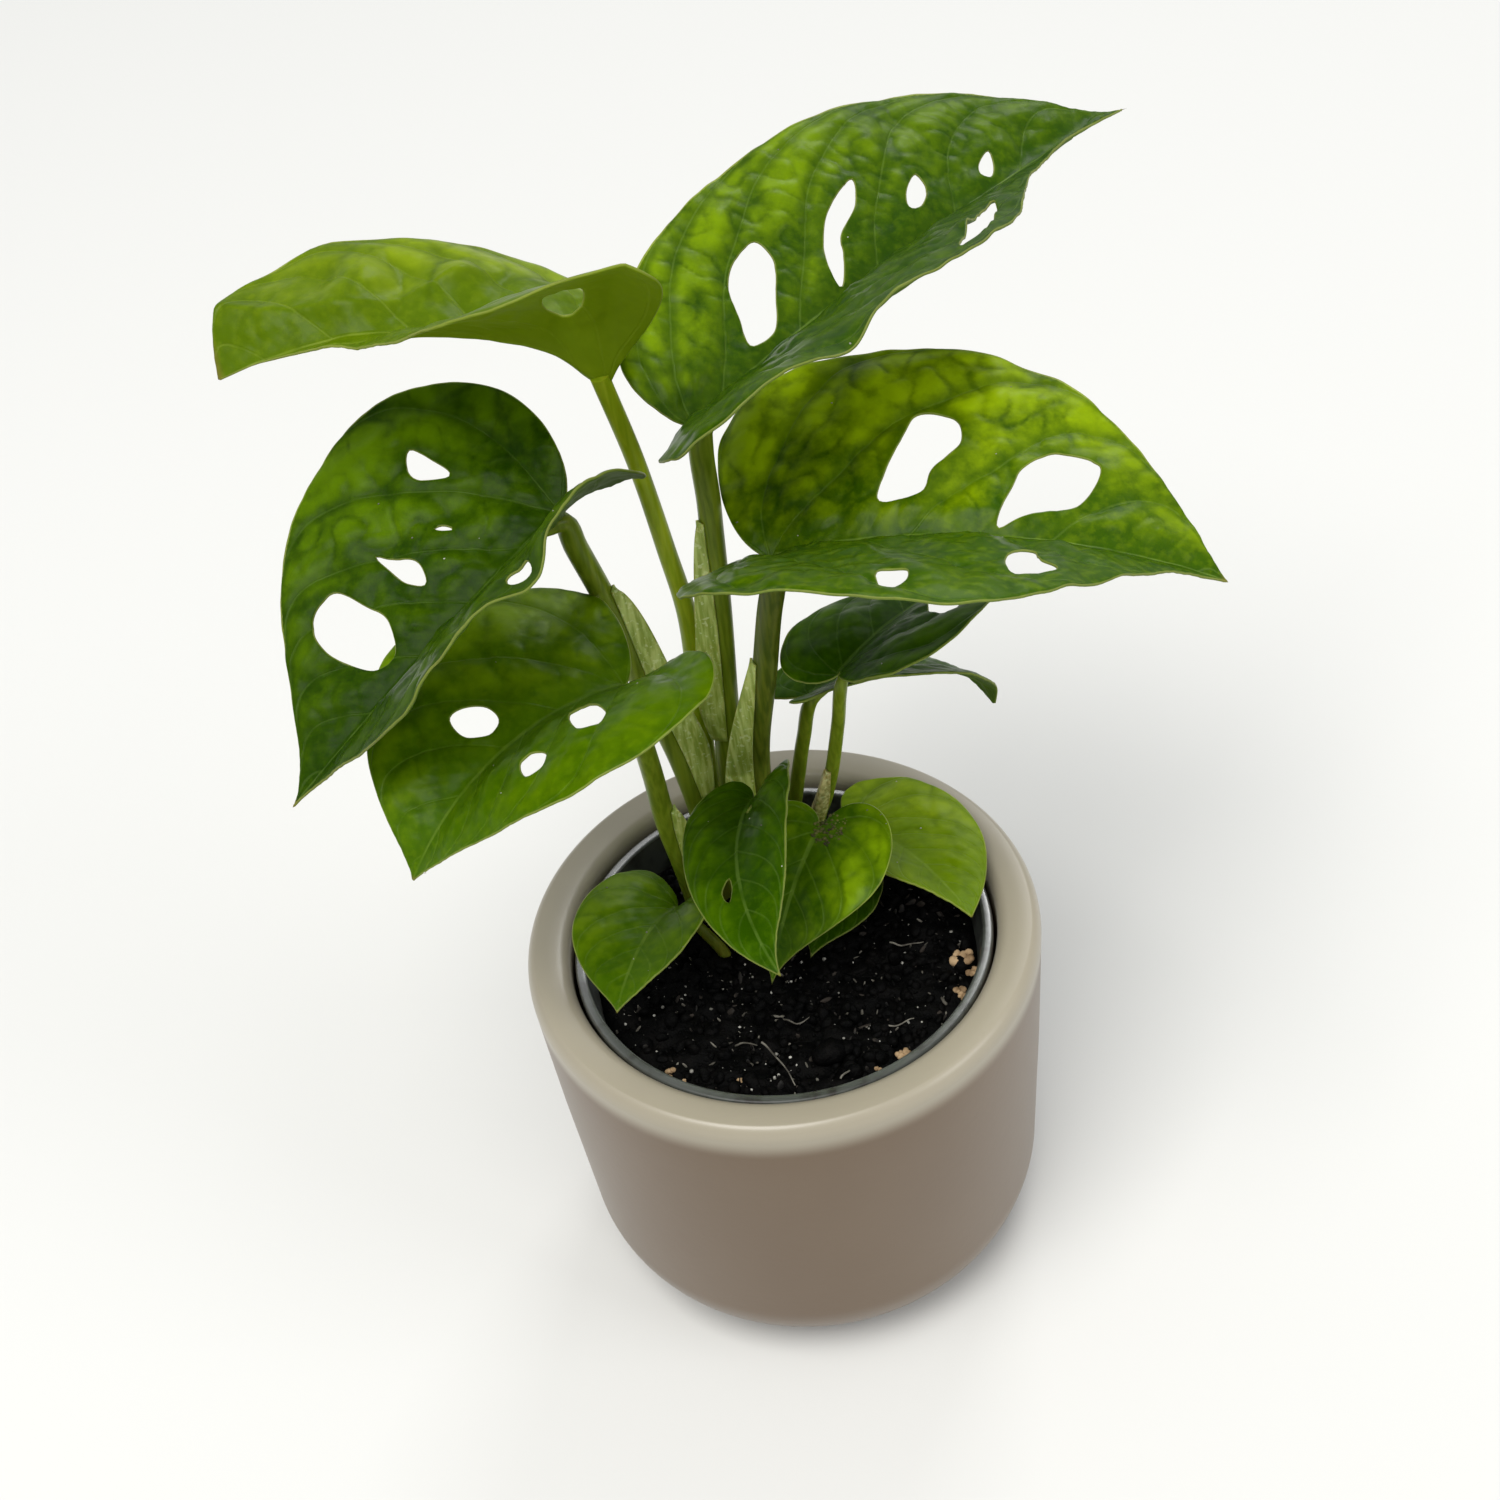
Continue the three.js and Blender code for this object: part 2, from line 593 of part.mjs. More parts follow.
// Rows of [along, across] points that follow the veins of one half: the first rows fan out of the
// junction into the lobe, and the others leave the midrib one after another.
function veinRows(leaf, side) {
  const small = leaf.length < blade.bigLeaf;
  const rows = small ? blade.smallRows : blade.rows;
  const columns = small ? blade.smallColumns : blade.columns;
  const [lobe, shoulder, flank] = marginCurves(leaf.length, side > 0 ? leaf.left : leaf.right);
  const margin = [];
  for (let i = 0; i <= blade.fanRows; i += 1) {
    const place = lerp(veins.first, 1 + veins.lastOfFan, i / blade.fanRows);
    margin.push(place < 1 ? lobe.getPoint(place) : shoulder.getPoint(place - 1));
  }
  const outer = rows - blade.fanRows;
  for (let i = 1; i <= outer; i += 1) {
    const onShoulder = i / outer / veins.beforeWidest;
    const onFlank = (i / outer - veins.beforeWidest) / (1 - veins.beforeWidest);
    const before = () => shoulder.getPoint(lerp(veins.lastOfFan, 1, onShoulder));
    margin.push(onFlank < 0 ? before() : flank.getPoint(onFlank));
  }
  return margin.map((point, i) => {
    const root = i <= blade.fanRows ? 0 : leaf.length * ((i - blade.fanRows) / outer) ** veins.crowding;
    return Array.from({ length: columns + 1 }, (_, j) => {
      const share = j / columns;
      return [lerp(root, point.x, share), side * Math.max(point.y, 0) * share];
    });
  });
}

// Two triangles across a quad. The right half is the left one's mirror image, so its faces turn round.
function quadFaces([a, b, c, d], mirrored) {
  return mirrored ? [[a, c, b], [a, d, c]] : [[a, b, c], [a, c, d]];
}

// A blade without its holes: two alike faces either side of the middle surface, joined at the margin.
function bladeBody(leaf, frames, halfThickness) {
  const points = [];
  const faces = [];
  for (const side of [1, -1]) {
    const mirrored = side < 0;
    const upper = veinRows(leaf, side).map((row) => row.map(([s, t], j) => {
      const reach = halfThickness * (j === 0 ? blade.midribThickening : 1);
      const offset = bladeNormal(leaf, frames, s, t).multiplyScalar(reach);
      const middle = bladePoint(leaf, frames, s, t);
      points.push(middle.clone().add(offset), middle.sub(offset));
      return points.length - 2;
    }));
    for (let i = 0; i + 1 < upper.length; i += 1) {
      for (let j = 0; j + 1 < upper[i].length; j += 1) {
        const corners = [upper[i][j], upper[i + 1][j], upper[i + 1][j + 1], upper[i][j + 1]];
        faces.push(...quadFaces(corners, mirrored), ...quadFaces(corners.map((k) => k + 1), !mirrored));
      }
    }
    const edge = [...upper[0], ...upper.slice(1).map((row) => row.at(-1))];
    for (let k = 0; k + 1 < edge.length; k += 1) {
      const [a, b] = [edge[k], edge[k + 1]];
      faces.push(...quadFaces([a, b, b + 1, a + 1], mirrored));
    }
  }
  return solidFrom(closedGeometry(points, faces));
}

// A plug with the outline of one hole, standing through the blade.
function holePlug(leaf, frames, outline) {
  const loop = new THREE.CatmullRomCurve3(outline.map(([s, t]) => new THREE.Vector3(s, t, 0)), true);
  const around = loop.getPoints(2 * outline.length).slice(0, -1);
  const reach = 5 * blade.halfThickness;
  const ring = (height) => around.map(({ x, y }) => {
    const normal = bladeNormal(leaf, frames, x, y);
    return bladePoint(leaf, frames, x, y).addScaledVector(normal, height);
  });
  return ringSolid([ring(reach), ring(-reach)]);
}

function makeBlade(leaf) {
  const frames = midribFrames(leaf);
  const whole = bladeBody(leaf, frames, blade.halfThickness);
  const cut = leaf.holes.reduce((left, outline) => left.subtract(holePlug(leaf, frames, outline)), whole);
  return largestPiece(cut);
}

// The middle line of a stalk, from the bottom of its hole in the soil up into the root of the midrib.
function stalkCurve(leaf) {
  const [foot, ...rest] = leaf.stalk.route;
  const start = [foot[0], foot[1], foot[2] - soil.stemHoleDepth + clearance];
  const { at, along } = midribFrames(leaf)[0];
  const end = at.clone().addScaledVector(along, 0.6 * leaf.stalk.topRadius).toArray();
  return new THREE.CatmullRomCurve3(
    [start, foot, ...rest, end].map((p) => new THREE.Vector3(...p)), false, "centripetal",
  );
}

function stalkRadius(leaf, share) {
  return lerp(leaf.stalk.footRadius, leaf.stalk.topRadius, Math.min(1, 1.25 * share) ** 0.8);
}

// A stalk, tapered, and cut off just short of its blade.
function makeStalk(leaf) {
  const curve = stalkCurve(leaf);
  const stepLength = 8;
  const steps = Math.round(clamp(curve.getLength() / stepLength, 4, 13));
  const { normals, binormals } = curve.computeFrenetFrames(steps);
  const rings = [];
  for (let i = 0; i <= steps; i += 1) {
    const middle = curve.getPointAt(i / steps);
    const radius = stalkRadius(leaf, i / steps);
    rings.push(Array.from({ length: stalkSides }, (_, k) => {
      const angle = (2 * Math.PI * k) / stalkSides;
      return middle.clone()
        .addScaledVector(normals[i], radius * Math.cos(angle))
        .addScaledVector(binormals[i], radius * Math.sin(angle));
    }));
  }
  const thick = bladeBody(leaf, midribFrames(leaf), blade.halfThickness + clearance);
  const back = midribFrames(leaf)[0].along.clone().multiplyScalar(-clearance);
  const room = thick.add(thick.translate(back.toArray()));
  return largestPiece(ringSolid(rings).subtract(room));
}

// A sheath: a wing whose root hugs its stalk, narrow at the foot and rounded off at the tip.
function makeSheath(sheath) {
  const leaf = leaves[sheath.stalk];
  const curve = stalkCurve(leaf);
  const samples = curve.getSpacedPoints(200);
  const shareAt = (height) => samples.findIndex((p) => p.z >= height) / samples.length;
  const [from, to] = sheath.span.map(shareAt);
  const facing = radians(sheath.facing);
  const out = new THREE.Vector3(Math.cos(facing), Math.sin(facing), 0);
  const rings = [];
  for (let i = 0; i <= sheathSteps; i += 1) {
    const u = i / sheathSteps;
    const share = lerp(from, to, u);
    const middle = curve.getPointAt(share);
    const tangent = curve.getTangentAt(share);
    const outward = out.clone().addScaledVector(tangent, -out.dot(tangent)).normalize();
    const sideways = tangent.clone().cross(outward);
    const inner = stalkRadius(leaf, share) / Math.cos(Math.PI / stalkSides) + clearance;
    const rounding = Math.sqrt(1 - u ** 6) * THREE.MathUtils.smoothstep(u + 0.12, 0, 0.4);
    const wing = lerp(...sheath.breadth, u) * rounding;
    const reach = radians(sheath.reach) * (1 - 0.6 * u ** 2);
    const at = (radius, angle) =>
      middle.clone()
        .addScaledVector(outward, radius * Math.cos(angle))
        .addScaledVector(sideways, radius * Math.sin(angle));
    rings.push([
      ...sheathArc.map((k) => at(inner + sheathSkin + wing * (1 - Math.abs(k)) ** 1.6, k * reach)),
      ...sheathArc.toReversed().map((k) => at(inner, k * reach)),
    ]);
  }
  return ringSolid(rings);
}

function material(color, roughness, extra = {}) {
  return new THREE.MeshStandardMaterial({ color, roughness, metalness: 0, ...extra });
}

const glaze = material(0x9c8f80, 0.45);
const clearPlastic = material(0xa9aaa2, 0.3, { transparent: true, opacity: 0.5 });
const peat = material(0x15110e, 0.95);
const leafGreen = material(0x3f7a1c, 0.4, { side: THREE.DoubleSide });
const stalkGreen = material(0x6f8a2a, 0.45);
const sheathGreen = material(0x9fb06a, 0.6);

const plant = new THREE.Group();

function place(name, solid, finish) {
  const mesh = new THREE.Mesh(geometryFrom(solid), finish);
  mesh.name = name;
  plant.add(mesh);
}

place("ceramic_cup", makeCup(), glaze);
place("nursery_pot", makeNurseryPot(), clearPlastic);
place("soil", makeSoil(), peat);
for (const [name, leaf] of Object.entries(leaves)) {
  place(`blade_${name}`, makeBlade(leaf), leafGreen);
  place(`stalk_${name}`, makeStalk(leaf), stalkGreen);
}
for (const [name, sheath] of Object.entries(sheaths)) {
  place(`sheath_${name}`, makeSheath(sheath), sheathGreen);
}

export default plant;
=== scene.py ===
# %% [markdown]
# # A young swiss cheese vine in its clear pot and its cup
#
# This lesson dresses a fixed model of a potted vine: a taupe cup, the clear nursery pot inside it, the
# peat, and twelve leaves on their stalks. The fixed model holds every piece at its true size, and each
# cell below makes the fine surface of one kind of piece in the same place. The lesson starts by loading
# that model.

import json
import math
from dataclasses import dataclass

import bmesh
import bpy
import numpy as np
from mathutils import Matrix, Vector
from mathutils.geometry import delaunay_2d_cdt

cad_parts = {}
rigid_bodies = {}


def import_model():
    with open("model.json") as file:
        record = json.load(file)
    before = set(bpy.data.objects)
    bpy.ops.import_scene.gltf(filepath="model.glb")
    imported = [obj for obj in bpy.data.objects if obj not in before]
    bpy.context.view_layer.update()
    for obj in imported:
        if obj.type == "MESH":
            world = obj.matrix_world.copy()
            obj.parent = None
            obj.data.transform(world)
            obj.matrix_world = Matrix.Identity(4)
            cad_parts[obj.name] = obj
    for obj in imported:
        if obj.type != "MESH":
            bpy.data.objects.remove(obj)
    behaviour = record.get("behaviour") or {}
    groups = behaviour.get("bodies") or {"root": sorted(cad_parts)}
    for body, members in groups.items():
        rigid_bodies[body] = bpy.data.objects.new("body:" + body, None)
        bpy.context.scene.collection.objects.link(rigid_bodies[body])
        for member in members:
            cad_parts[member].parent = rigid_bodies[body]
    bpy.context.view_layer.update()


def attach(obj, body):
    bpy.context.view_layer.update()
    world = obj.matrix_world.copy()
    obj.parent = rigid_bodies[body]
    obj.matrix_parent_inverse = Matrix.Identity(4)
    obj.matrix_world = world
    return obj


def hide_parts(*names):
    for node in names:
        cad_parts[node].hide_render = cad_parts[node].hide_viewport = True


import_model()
scene = bpy.context.scene
MM = 0.001

# %% [markdown]
# ## Camera, floor and light
#
# The camera stands where a person's eye would be, a little above the plant and close to it, and it is
# rolled slightly. A camera matrix is three directions side by side: to its right, up, and back towards
# the viewer. The light is soft, as from a large window: a broad panel high up at the left, in front of the
# plant, a weaker one on the right, one behind, and a pale sky all round that keeps the shadows open.
# The Standard view transform leaves the colours as the finishes give them.

# %% Camera
EYE = Vector((-0.5, -209.9, 295.6)) * MM
LOOK_DOWN = math.radians(42.6)
ROLL = math.radians(-9.0)
LENS = 48.0

back = Vector((0, -math.cos(LOOK_DOWN), math.sin(LOOK_DOWN)))
level_right = Vector((1, 0, 0))
level_up = back.cross(level_right)
right = math.cos(ROLL) * level_right + math.sin(ROLL) * level_up
up = -math.sin(ROLL) * level_right + math.cos(ROLL) * level_up

camera = bpy.data.objects.new("camera", bpy.data.cameras.new("camera"))
camera.data.lens = LENS
camera.data.clip_start = 0.01
camera.matrix_world = Matrix.Translation(EYE) @ Matrix((right, up, back)).transposed().to_4x4()
scene.collection.objects.link(camera)
scene.camera = camera
print("camera distance in mm:", round(EYE.length / MM))

# %% Soft studio light
def panel(name, place, size, watts, tint=(1, 1, 1)):
    """A square light panel at a place in millimetres, aimed at the middle of the plant."""
    light = bpy.data.lights.new(name, "AREA")
    light.shape = "SQUARE"
    light.size = size * MM
    light.energy = watts
    light.color = tint
    lamp = bpy.data.objects.new(name, light)
    lamp.location = Vector(place) * MM
    aim = Vector((0, 0, 90)) * MM - lamp.location
    lamp.rotation_mode = "QUATERNION"
    lamp.rotation_quaternion = aim.to_track_quat("-Z", "Y")
    scene.collection.objects.link(lamp)


panel("key", (-520, -760, 2150), 1300, 46.0, (1.0, 0.985, 0.95))
panel("fill", (1500, -700, 1100), 900, 9.0)
panel("behind", (700, 1500, 1500), 700, 9.0)

world = bpy.data.worlds.new("studio")
world.use_nodes = True
world.node_tree.nodes["Background"].inputs["Color"].default_value = (0.93, 0.95, 0.96, 1)
world.node_tree.nodes["Background"].inputs["Strength"].default_value = 0.56
scene.world = world
scene.view_settings.view_transform = "Standard"
print("light panels:", len(bpy.data.lights))

# %% [markdown]
# ## Building materials from nodes
#
# Every finish here is worked out by nodes, so it has no picture files. A few small helpers keep the
# node code short: one adds a node and fills its inputs, one does arithmetic, one blends two colours,
# and one turns a number into a soft step. They work alike inside a material and inside a group.

# %% Node helpers
def add(tree, kind, inputs=None, **settings):
    """A new node. inputs gives its sockets by name or number, as values or as sockets to join."""
    node = tree.nodes.new(kind)
    for name, value in settings.items():
        setattr(node, name, value)
    for key, value in (inputs or {}).items():
        if isinstance(value, bpy.types.NodeSocket):
            tree.links.new(value, node.inputs[key])
        else:
            node.inputs[key].default_value = value
    return node


def calc(tree, operation, *values):
    """The result of one step of arithmetic on numbers or sockets."""
    return add(tree, "ShaderNodeMath", dict(enumerate(values)), operation=operation).outputs[0]


def step(tree, value, start, end, low=0.0, high=1.0):
    """A soft step from low to high as the value goes from start to end."""
    inputs = {"Value": value, "From Min": start, "From Max": end, "To Min": low, "To Max": high}
    return add(tree, "ShaderNodeMapRange", inputs, interpolation_type="SMOOTHSTEP").outputs[0]


def product(tree, first, *others):
    """The numbers or sockets multiplied together."""
    for other in others:
        first = calc(tree, "MULTIPLY", first, other)
    return first


MIX_FACTOR, MIX_A, MIX_B, MIX_RESULT = 0, 6, 7, 2


def tint(tree, share, first, second):
    """The first colour, with a share of the second one blended in."""
    inputs = {MIX_FACTOR: share, MIX_A: first, MIX_B: second}
    return add(tree, "ShaderNodeMix", inputs, data_type="RGBA").outputs[MIX_RESULT]


def noise(tree, place, size_mm, detail=3.0, roughness=0.5):
    """Cloudy noise from 0 to 1, whose clouds are about that many millimetres wide."""
    inputs = {"Vector": place, "Scale": 1 / (size_mm * MM), "Detail": detail, "Roughness": roughness}
    return add(tree, "ShaderNodeTexNoise", inputs).outputs["Fac"]


def value_of(tree, name):
    """A number stored on the mesh under that name."""
    return add(tree, "ShaderNodeAttribute", attribute_name=name).outputs["Fac"]


def group(name, inputs, outputs):
    """An empty shader group with named sockets, with its input and output nodes."""
    tree = bpy.data.node_groups.new(name, "ShaderNodeTree")
    for label, kind, value in inputs:
        socket = tree.interface.new_socket(label, in_out="INPUT", socket_type=kind)
        socket.default_value = value
    for label, kind in outputs:
        tree.interface.new_socket(label, in_out="OUTPUT", socket_type=kind)
    return tree, tree.nodes.new("NodeGroupInput"), tree.nodes.new("NodeGroupOutput")


def material(name, **settings):
    """A material with a Principled BSDF, its plain sockets set by name, and both of its trees' ends."""
    made = bpy.data.materials.new(name)
    made.use_nodes = True
    surface = made.node_tree.nodes["Principled BSDF"]
    for label, value in settings.items():
        surface.inputs[label.replace("_", " ")].default_value = value
    return made, made.node_tree, surface


FLOAT = "NodeSocketFloat"
COLOUR = "NodeSocketColor"


def rgb(red, green, blue):
    """A colour as Blender stores it, from the 0 to 255 numbers of a paint chart."""
    def linear(value):
        share = value / 255
        return share / 12.92 if share <= 0.04045 else ((share + 0.055) / 1.055) ** 2.4
    return (linear(red), linear(green), linear(blue), 1.0)


# %% [markdown]
# ## Floor
#
# The plant stands on a sheet of pale paper, far wider than the picture, so its edge never shows.

# %% Floor
floor_finish, floor_tree, floor_surface = material("floor_paper", Roughness=0.85)
floor_surface.inputs["Base Color"].default_value = rgb(216, 216, 214)
FLOOR_REACH = 3000 * MM
floor_mesh = bpy.data.meshes.new("floor")
floor_corners = [(-1, -1), (1, -1), (1, 1), (-1, 1)]
floor_mesh.from_pydata([(x * FLOOR_REACH, y * FLOOR_REACH, 0) for x, y in floor_corners], [], [(0, 1, 2, 3)])
floor_mesh.materials.append(floor_finish)
floor = bpy.data.objects.new("floor", floor_mesh)
scene.collection.objects.link(floor)
print("floor width in m:", round(2 * FLOOR_REACH, 1))

# %% [markdown]
# ## From points to a finished piece
#
# A finished piece is one mesh whose points already lie where they belong, so its object stays at the
# origin. Two helpers are enough: one turns points in millimetres and faces into a smooth mesh, with any
# numbers that the materials read, and one makes it a piece that stands for a node of the fixed model.

# %% Mesh helpers
def mesh_from(name, points, faces, finish, numbers=None):
    """A smooth mesh from points in millimetres, with named numbers stored on its points."""
    mesh = bpy.data.meshes.new(name)
    mesh.from_pydata((np.asarray(points) * MM).tolist(), [], [list(face) for face in faces])
    for key, values in (numbers or {}).items():
        mesh.attributes.new(key, "FLOAT", "POINT").data.foreach_set("value", np.asarray(values, np.float32))
    mesh.materials.append(finish)
    mesh.shade_smooth()
    return mesh


def piece_from(name, mesh, slot, *nodes):
    """The mesh as a piece of the plant, standing for the given nodes of the fixed model."""
    mesh.name = name
    piece = bpy.data.objects.new(name, mesh)
    scene.collection.objects.link(piece)
    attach(piece, "root")
    if nodes:
        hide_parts(*nodes)
    triangles = sum(len(face.vertices) - 2 for face in mesh.polygons)
    print(f"{name}: {triangles} triangles")
    return piece


def grow(tree, base, **settings):
    """Runs a Geometry Nodes tree on a base mesh and gives the result back as a plain mesh."""
    maker = bpy.data.objects.new("maker", base)
    scene.collection.objects.link(maker)
    modifier = maker.modifiers.new("grow", "NODES")
    modifier.node_group = tree
    for item in tree.interface.items_tree:
        if item.item_type == "SOCKET" and item.in_out == "INPUT" and item.name in settings:
            modifier[item.identifier] = settings[item.name]
    bpy.context.view_layer.update()
    depsgraph = bpy.context.evaluated_depsgraph_get()
    mesh = bpy.data.meshes.new_from_object(maker.evaluated_get(depsgraph), depsgraph=depsgraph)
    bpy.data.objects.remove(maker)
    return mesh


def geometry_tree(name, inputs):
    """An empty Geometry Nodes tree with named inputs, and its input and output nodes."""
    tree = bpy.data.node_groups.new(name, "GeometryNodeTree")
    tree.interface.new_socket("Geometry", in_out="INPUT", socket_type="NodeSocketGeometry")
    for label, kind, value in inputs:
        socket = tree.interface.new_socket(label, in_out="INPUT", socket_type=kind)
        if value is not None:
            socket.default_value = value
    tree.interface.new_socket("Geometry", in_out="OUTPUT", socket_type="NodeSocketGeometry")
    return tree, tree.nodes.new("NodeGroupInput"), tree.nodes.new("NodeGroupOutput")


def close_tree(tree, out, geometry, finish):
    """Ends a tree with Realize Instances and Set Material, so that what leaves it is plain geometry."""
    smooth = add(tree, "GeometryNodeSetShadeSmooth", {"Geometry": geometry}).outputs[0]
    real = add(tree, "GeometryNodeRealizeInstances", {"Geometry": smooth}).outputs[0]
    dressed = add(tree, "GeometryNodeSetMaterial", {"Geometry": real, "Material": finish}).outputs[0]
    tree.links.new(dressed, out.inputs[0])


def waves(x, y, seed, count=7):
    """Gentle uneven swells between about -1 and 1: sine waves that cross at seeded angles."""
    rng = np.random.default_rng(seed)
    total = 0
    for _ in range(count):
        angle, phase = rng.uniform(0, 2 * np.pi, 2)
        pace = rng.uniform(0.6, 1.7)
        total = total + np.sin(pace * (x * np.cos(angle) + y * np.sin(angle)) + phase)
    return total / (1.2 * count ** 0.5)


# %% [markdown]
# ## The cup and the nursery pot
#
# Both pots are turned shapes: one outline, carried round an upright axis. In Geometry Nodes that is
# Curve to Mesh with a ring as the path and the outline as its profile. The outline is drawn as radius
# and height, with every rounded edge as an arc, so the lip catches the light as a soft line.

# %% A tree that turns an outline
def make_turning_tree():
    """A tree that carries the base mesh's outline, in the XZ plane, round the Z axis."""
    inputs = [("Sides", "NodeSocketInt", 160), ("Finish", "NodeSocketMaterial", None)]
    tree, source, out = geometry_tree("turned", inputs)
    ring_radius = 1.0
    outline = add(tree, "GeometryNodeMeshToCurve", {"Mesh": source.outputs["Geometry"]}).outputs[0]
    ring_inputs = {"Resolution": source.outputs["Sides"], "Radius": ring_radius}
    ring = add(tree, "GeometryNodeCurvePrimitiveCircle", ring_inputs).outputs[0]
    swept_inputs = {"Curve": ring, "Profile Curve": outline}
    swept = add(tree, "GeometryNodeCurveToMesh", swept_inputs).outputs[0]
    merged = add(tree, "GeometryNodeMergeByDistance", {"Geometry": swept, "Distance": 0.01 * MM}).outputs[0]
    close_tree(tree, out, merged, source.outputs["Finish"])
    return tree, ring_radius


turning_tree, RING_RADIUS = make_turning_tree()


def arc(centre, reach, height, start, end, steps):
    """Points of a rounded edge, as radius and height, between two angles in degrees."""
    angles = np.radians(np.linspace(start, end, steps + 1))
    return [(centre[0] + reach * math.cos(a), centre[1] + height * math.sin(a)) for a in angles]


def turn(outline, sides, finish):
    """A turned mesh from an outline of radius and height in millimetres."""
    base = bpy.data.meshes.new("outline")
    points = [(r * MM - RING_RADIUS, -z * MM, 0) for r, z in outline]
    base.from_pydata(points, [(i, i + 1) for i in range(len(points) - 1)], [])
    return grow(turning_tree, base, Sides=sides, Finish=finish)


print("turning tree:", len(turning_tree.nodes), "nodes")

# %% [markdown]
# ## Glaze, clear plastic and peat
#
# The cup's satin glaze is nearly one colour, so its life comes from slow clouds of tone, a lip painted
# paler as painted light and a body painted darker as painted shade, and a skin too fine to see that only
# breaks up the highlight. The nursery pot lets light through but looks grey, because dark peat lies
# behind it. Peat is almost black when damp, so its crumbly look comes from relief more than from colour.

# %% Glaze, clear plastic and peat
def make_glaze():
    """Satin taupe glaze, its lip painted paler as painted light and its body darker as painted shade, with a
    fine orange-peel surface.
    """
    finish, tree, surface = material("cup_glaze", Roughness=0.36, Coat_Weight=0.25, Coat_Roughness=0.3)
    place = add(tree, "ShaderNodeTexCoord").outputs["Object"]
    clouds = noise(tree, place, 26, detail=4)
    # Painted light and shade: the lip is painted paler and the body darker, as light from above falls on
    # them.
    body = tint(tree, clouds, rgb(94, 73, 50), rgb(105, 86, 63))
    lip = tint(tree, clouds, rgb(152, 144, 126), rgb(163, 155, 137))
    height = add(tree, "ShaderNodeSeparateXYZ", {"Vector": place}).outputs["Z"]
    colour = tint(tree, step(tree, height, 59.5 * MM, 63.5 * MM), body, lip)
    tree.links.new(colour, surface.inputs["Base Color"])
    skin = noise(tree, place, 1.6, detail=2)
    bump = add(tree, "ShaderNodeBump", {"Height": skin, "Strength": 0.08, "Distance": 0.2 * MM})
    tree.links.new(bump.outputs[0], surface.inputs["Normal"])
    return finish


def make_clear_plastic():
    """Thin scuffed clear plastic that looks grey where it lies over dark peat."""
    finish, tree, surface = material(
        "clear_plastic", Roughness=0.42, IOR=1.49, Specular_IOR_Level=0.3, Transmission_Weight=0.45,
    )
    place = add(tree, "ShaderNodeTexCoord").outputs["Object"]
    dust = step(tree, noise(tree, place, 3.0, detail=5), 0.45, 0.72)
    colour = tint(tree, dust, rgb(84, 88, 83), rgb(44, 42, 37))
    tree.links.new(colour, surface.inputs["Base Color"])
    return finish


def make_peat():
    """Dark damp peat, brown in places, with a dull grain."""
    finish, tree, surface = material("peat", Roughness=0.6, Specular_IOR_Level=0.08)
    place = add(tree, "ShaderNodeTexCoord").outputs["Object"]
    clods = noise(tree, place, 2.2, detail=6, roughness=0.65)
    colour = tint(tree, step(tree, clods, 0.42, 0.78), rgb(1, 1, 1), rgb(10, 8, 7))
    tree.links.new(colour, surface.inputs["Base Color"])
    bump = add(tree, "ShaderNodeBump", {"Height": clods, "Strength": 0.9, "Distance": 0.8 * MM})
    tree.links.new(bump.outputs[0], surface.inputs["Normal"])
    return finish


glaze = make_glaze()
clear_plastic = make_clear_plastic()
peat = make_peat()

# %% The cup
CUP_HEIGHT = 66.0
CUP_RIM = 40.0
CUP_WALL_AT_BASE = 37.5
CUP_BORE = 33.3
CUP_FLOOR = 6.0
CORNER_REACH = 17.5
CORNER_HEIGHT = 16.0
BORE_CORNER = 12.0
LIP_DEPTH = 2.6
OUTER_LIP = 1.8
INNER_LIP = 2.4
INNER_LIP_FALL = 0.6
FOOT_RING = 19.0


def cup_outline():
    """The cup's outline from the middle of its underside, up the outside and down to its floor."""
    share = CORNER_HEIGHT / CUP_HEIGHT
    corner = CUP_WALL_AT_BASE + (CUP_RIM - CUP_WALL_AT_BASE) * share - CORNER_REACH
    lip = CUP_HEIGHT - LIP_DEPTH
    return [
        (0, 0.5),
        (FOOT_RING - 2.5, 0.5),
        (FOOT_RING - 1.5, 0.05),
        *arc((corner, CORNER_HEIGHT), CORNER_REACH, CORNER_HEIGHT, -86, 0, 28),
        (CUP_RIM - 0.7, lip - 22),
        (CUP_RIM - 0.3, lip - 10),
        *arc((CUP_RIM - OUTER_LIP, lip), OUTER_LIP, LIP_DEPTH, 0, 82, 10),
        *arc((CUP_BORE + INNER_LIP, lip), INNER_LIP, LIP_DEPTH - INNER_LIP_FALL, 98, 180, 10),
        *arc((CUP_BORE - BORE_CORNER, CUP_FLOOR + BORE_CORNER), BORE_CORNER, BORE_CORNER, 0, -90, 12),
        (0, CUP_FLOOR),
    ]


piece_from("cup", turn(cup_outline(), 200, glaze), "cup_glaze", "ceramic_cup")

# %% The nursery pot
POT_TOP = 63.3
POT_RIM = 32.7
POT_RIM_HEIGHT = 2.6
POT_RIM_WIDTH = 1.7
POT_WALL_AT_TOP = 31.6
POT_FOOT = 23.0
POT_WALL = 0.9
POT_FLOOR = 6.3
DRAIN = 3.0


def pot_wall_at(z):
    """The outer radius of the nursery pot's wall at a height."""
    share = (z - POT_FLOOR) / (POT_TOP - POT_RIM_HEIGHT - POT_FLOOR)
    return POT_FOOT + (POT_WALL_AT_TOP - POT_FOOT) * share


